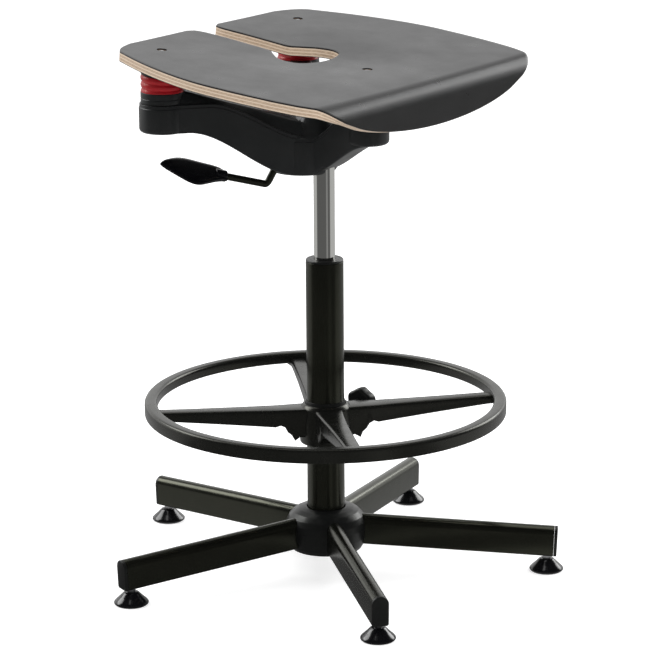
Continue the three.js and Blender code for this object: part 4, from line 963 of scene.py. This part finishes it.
def buildSeat():
    s = seat
    tilted = shift(z=seatPlane["height"]) @ Matrix.Rotation(slope, 4, "X")
    top = seatLayer(0, s["laminate"], s["edgeRound"], 0)
    finishPiece(top, "seatTopLaminate", "seat", "seatLaminate", ["seat_laminate"], 50, tilted)
    board = seatLayer(s["laminate"] + 0.02, s["thickness"] - s["underLaminate"] - 0.02, 0, 0)
    finishPiece(board, "seatPlies", "seat", "plywoodEdge", ["seat_board"], 50, tilted)
    under = seatLayer(s["thickness"] - s["underLaminate"], s["thickness"], 0,
                      s["edgeRound"])
    finishPiece(under, "seatUnderLaminate", "seat", "seatLaminate", [], 50, tilted)
    for side, (across, forward) in s["screws"].items():
        lifted = tilted @ shift(across, -forward, seatLift(across, forward))
        turned(f"seatScrew{side.title()}", "seat", "zincSteel", s["screwProfile"],
               [f"seat_screw_{side}"], place=lifted, rounding=0.25, steps=40)


buildSeat()
print("seat built")


def buildPosts():
    p = posts
    x, y = carrier["rear"]["cup"]
    for side, across in (("Left", x), ("Right", -x)):
        tail = side.lower()
        turned(f"postCollar{side}", "lift", "carrierPlastic", p["collar"],
               [f"bellows_collar_{tail}"], hollow=True, rounding=0.4, steps=96,
               place=shift(across, y))
        buildShadowRing((across, y), f"bellowsFlange{side}")
        for part, make, node in (("bellows", bellowsPart, f"bellows_{tail}"),
                                 ("spring", springPart, f"post_spring_{tail}")):
            low, top = make((across, y), f"{part}{side}Lower", (0, p["splitShare"]))
            high, _ = make((across, y), f"{part}{side}Upper", (p["splitShare"], 1))
            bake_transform(low)
            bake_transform(high)
            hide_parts(node)
            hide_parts(node)


buildPosts()
roundedCopy("front_post", "frontPost", "lift", "carrierPlastic", 0.5)
roundedCopy("front_bracket", "frontBracket", "seat", "carrierPlastic", 0.5)
print("posts built")

# Height lever and its paddle

lever = {
    "turn": 134.76, "radius": 4.7, "line": [(-4, 595), (12, 595), (28, 586), (46, 574),
                                            (64.8, 546), (74.9, 526.3)],
    "pinCorner": 3, "boss": (6.5, -4.75, 4.75), "pin": (2.5, -17, 17),
    "outer": (-0.802, 0.539, 0.259), "curveShare": 0.35, "lastShare": 0.05,
    "sides": 28, "curveSteps": 9,
    "paddleStart": 58, "length": 91, "width": 50, "thickness": 9, "tilt": 29,
    "socket": 15.3, "collar": 7.6, "stations": 46, "around": 44,
    "shares": [(0, 0.18, 0.2, 0.8), (0.08, 0.22, 0.29, 1), (0.18, 0.3, 0.34, 1),
               (0.3, 0.42, 0.36, 1), (0.41, 0.53, 0.38, 1), (0.5, 0.57, 0.4, 1),
               (0.6, 0.53, 0.41, 0.97), (0.72, 0.41, 0.38, 0.9), (0.83, 0.28, 0.29, 0.8),
               (0.92, 0.17, 0.19, 0.65), (0.97, 0.09, 0.1, 0.5), (1, 0.03, 0.03, 0.3)],
}
leverTurn = math.radians(lever["turn"])
leverWay = Vector((math.cos(leverTurn), math.sin(leverTurn), 0))
outerWay = Vector(lever["outer"]).normalized()


def onLeverLine(corner):
    reach, height = lever["line"][corner]
    return leverWay * reach + up * height


def leverPath():
    v = lever
    corners = [onLeverLine(i) for i in range(len(v["line"]))]
    bend = corners[-1]
    corners.append(bend + outerWay * (v["paddleStart"] + v["socket"] - 0.5))
    points = [corners[0]]
    for i in range(1, len(corners) - 1):
        onward = v["curveShare"] if i < len(corners) - 2 else v["lastShare"]
        into = corners[i].lerp(corners[i - 1], v["curveShare"])
        out = corners[i].lerp(corners[i + 1], onward)
        points.append(points[-1].lerp(into, 0.5))
        for step in range(v["curveSteps"] + 1):
            share = step / v["curveSteps"]
            points.append(into.lerp(corners[i], share).lerp(corners[i].lerp(out, share), share))
    points += [points[-1].lerp(corners[-1], 0.5), corners[-1]]
    return points


def tubeSections(points, radius, sides):
    sections = []
    side = None
    for i, point in enumerate(points):
        way = (points[min(i + 1, len(points) - 1)] - points[max(i - 1, 0)]).normalized()
        side = (Vector((-leverWay.y, leverWay.x, 0)) if side is None else side)
        side = (side - way * side.dot(way)).normalized()
        other = way.cross(side)
        sections.append([point + (side * math.cos(2 * math.pi * k / sides)
                                  + other * math.sin(2 * math.pi * k / sides)) * radius
                         for k in range(sides)])
    return sections


def buildLever():
    v = lever
    bm = bmesh.new()
    sweep(bm, tubeSections(leverPath(), v["radius"], v["sides"]))
    pin = onLeverLine(v["pinCorner"])
    across = Vector((leverWay.y, -leverWay.x, 0))
    alongPin = Matrix.Translation(pin) @ across.to_track_quat("X", "Z").to_matrix().to_4x4()
    barAlong(bm, *v["boss"], alongPin, 0.8)
    finishPiece(bm, "leverRod", "lever", "blackPaint", ["lever_rod"])
    bm = bmesh.new()
    barAlong(bm, *v["pin"], alongPin, 0.5)
    finishPiece(bm, "leverPin", "lift", "zincSteel", ["lever_pin"])
    buildPaddle()


def buildPaddle():
    v = lever
    level = outerWay.cross(up).normalized()
    turning = Quaternion(outerWay, -math.radians(v["tilt"]))
    across = turning @ level
    face = across.cross(outerWay).normalized()
    root = onLeverLine(-1) + outerWay * v["paddleStart"]
    shares = v["shares"]
    sections = []
    for i in range(v["stations"] + 1):
        along = (1 - math.cos(math.pi * i / v["stations"])) / 2
        n = max(k for k in range(len(shares) - 1) if shares[k][0] <= along)
        near = [shares[max(n - 1, 0)], *shares[n:n + 2], shares[min(n + 2, len(shares) - 1)]]
        step = (along - near[1][0]) / (near[2][0] - near[1][0])
        lower, upper, thick = (smoothStep(*(row[k] for row in near), step) for k in (1, 2, 3))
        ring = []
        for k in range(v["around"]):
            angle = 2 * math.pi * k / v["around"]
            lens = math.copysign(abs(math.sin(angle)) ** 0.75, math.sin(angle))
            reach = math.cos(angle) * v["width"] * (upper if math.cos(angle) > 0 else lower)
            ring.append(root + outerWay * along * v["length"] + across * reach
                        + face * lens * thick * v["thickness"] / 2)
        sections.append(ring)
    bm = bmesh.new()
    sweep(bm, sections)
    collar = Matrix.Translation(root) @ outerWay.to_track_quat("X", "Z").to_matrix().to_4x4()
    barAlong(bm, v["collar"], 0, v["socket"], collar, 1.4)
    finishPiece(bm, "leverPaddle", "lever", "glossPlastic", ["lever_paddle"], sharpAngle=45)


buildLever()
print("lever built")

# Floor, light and camera

studio = {
    "floorSize": 9, "floorShade": 0.82, "floorGlow": 0.62, "worldLight": 0.6,
    "mirrorFloor": {"way": (0.895, 0.446, 0), "from": -0.36, "to": -0.16, "dark": 0.106,
                    "bright": 0.45},
    "mirrorWorld": {"way": (0.688, 0.725, 0), "from": 0.1, "to": 0.5, "dark": 0.05,
                    "bright": 1},
    "ceiling": {"from": 0.75, "to": 0.42, "dark": 0.25},
    "glint": {"way": (-0.399, -0.917, 0), "from": 0.978, "to": 0.9976, "bright": 0.135},
    "lamps": {
        "keyLeft": ((-0.7, 2.9, 2.5), (1.8, 1.8), 46),
        "backRight": ((2.9, -0.7, 1.8), (1.6, 1.6), 34),
        "topSoft": ((0.2, 0.4, 3.4), (2.6, 2.6), 30),
        "fillFront": ((-1.4, -3.2, 1.5), (1.4, 1.4), 30),
    },
    "unmirrored": ["fillFront"],
    "target": (0, 0, 333.5), "azimuth": -53.5, "elevation": 14.97, "distance": 4240.5,
    "roll": -0.38, "lens": 178.1, "sensor": 36, "clipEnd": 50,
}


# What each kind of ray meets: the camera's own, mirror and glass ones, and all others
def rayMix(tree, seen, mirrored, other):
    path = shaderNode(tree, "ShaderNodeLightPath")
    mirror = maths(tree, "MAXIMUM", path.outputs["Is Glossy Ray"],
                   path.outputs["Is Transmission Ray"])
    shown = other
    for share, shader in ((mirror, mirrored), (path.outputs["Is Camera Ray"], seen)):
        chosen = shaderNode(tree, "ShaderNodeMixShader", {"Fac": share, 1: shown, 2: shader})
        shown = chosen.outputs["Shader"]
    return shown


# How much a level direction faces the given way, between two limits
def facingShare(tree, way, look, low, high):
    def vectors(operation, inputs):
        return shaderNode(tree, "ShaderNodeVectorMath", inputs, operation=operation).outputs

    level = vectors("MULTIPLY", {0: way, 1: (1, 1, 0)})["Vector"]
    unit = vectors("NORMALIZE", {0: level})["Vector"]
    facing = vectors("DOT_PRODUCT", {0: unit, 1: look["way"]})["Value"]
    return spread(tree, facing, low, high, look["from"], look["to"], "SMOOTHSTEP")


# The floor in mirrors: white on the backdrop's side, dark on the other, with one narrow glint
def floorShade(tree, place):
    look, glint = studio["mirrorFloor"], studio["glint"]
    return maths(tree, "ADD", facingShare(tree, place, look, look["dark"], look["bright"]),
                 facingShare(tree, place, glint, 0, glint["bright"]))


# The room in mirrors: white on the backdrop's side, and darker towards the ceiling
def roomShade(tree, way):
    look, ceiling = studio["mirrorWorld"], studio["ceiling"]
    height = shaderNode(tree, "ShaderNodeSeparateXYZ", {0: way}).outputs["Z"]
    rise = spread(tree, height, 1, ceiling["dark"], ceiling["to"], ceiling["from"], "SMOOTHSTEP")
    return maths(tree, "MULTIPLY", facingShare(tree, way, look, look["dark"], look["bright"]),
                 rise)


def buildStudio():
    s = studio
    bm = bmesh.new()
    bmesh.ops.create_grid(bm, x_segments=2, y_segments=2, size=s["floorSize"])
    mesh = bpy.data.meshes.new("floor")
    bm.to_mesh(mesh)
    bm.free()
    floor = linked("floor", mesh)
    paint = bpy.data.materials.new("paleFloor")
    paint.use_nodes = True
    tree = paint.node_tree
    matte = shaderNode(tree, "ShaderNodeBsdfDiffuse", {"Color": (*[s["floorShade"]] * 3, 1)})
    glow = shaderNode(tree, "ShaderNodeEmission", {"Strength": s["floorGlow"]})
    lit = shaderNode(tree, "ShaderNodeAddShader", {
        0: matte.outputs["BSDF"], 1: glow.outputs["Emission"]})
    place = shaderNode(tree, "ShaderNodeTexCoord").outputs["Object"]
    mirrored = shaderNode(tree, "ShaderNodeEmission", {"Strength": floorShade(tree, place)})
    tree.links.new(rayMix(tree, lit.outputs[0], mirrored.outputs[0], matte.outputs[0]),
                   tree.nodes["Material Output"].inputs["Surface"])
    mesh.materials.append(paint)

    world = bpy.data.worlds.new("studioWorld")
    bpy.context.scene.world = world
    world.use_nodes = True
    tree = world.node_tree
    light = tree.nodes["Background"]
    light.inputs["Color"].default_value = (1, 1, 1, 1)
    light.inputs["Strength"].default_value = s["worldLight"]
    seen = shaderNode(tree, "ShaderNodeBackground", {"Color": (1, 1, 1, 1), "Strength": 1})
    way = shaderNode(tree, "ShaderNodeTexCoord").outputs["Generated"]
    mirrored = shaderNode(tree, "ShaderNodeBackground", {
        "Color": (1, 1, 1, 1), "Strength": roomShade(tree, way)})
    tree.links.new(rayMix(tree, seen.outputs[0], mirrored.outputs[0], light.outputs[0]),
                   tree.nodes["World Output"].inputs["Surface"])

    centre = inFrame(s["target"])
    for name, (place, size, power) in s["lamps"].items():
        light = bpy.data.lights.new(name, "AREA")
        light.shape, light.size, light.size_y = "RECTANGLE", *size
        light.energy = power
        lamp = linked(name, light)
        lamp.location = place
        lamp.rotation_euler = (centre - Vector(place)).to_track_quat("-Z", "Y").to_euler()
        lamp.visible_glossy = name not in s["unmirrored"]

    turning, rise = math.radians(s["azimuth"]), math.radians(s["elevation"])
    away = Vector((math.sin(turning) * math.cos(rise), -math.cos(turning) * math.cos(rise),
                   math.sin(rise)))
    data = bpy.data.cameras.new("photoCamera")
    data.lens, data.sensor_width, data.sensor_height = s["lens"], s["sensor"], s["sensor"]
    data.clip_end = s["clipEnd"]
    camera = linked("photoCamera", data)
    camera.location = inFrame(Vector(s["target"]) + away * s["distance"])
    facing = (-away).to_track_quat("-Z", "Y")
    camera.rotation_mode = "QUATERNION"
    camera.rotation_quaternion = facing @ Quaternion((0, 0, 1), math.radians(s["roll"]))
    bpy.context.scene.camera = camera
    bpy.context.scene.view_settings.view_transform = "Standard"


buildStudio()
print("studio built")
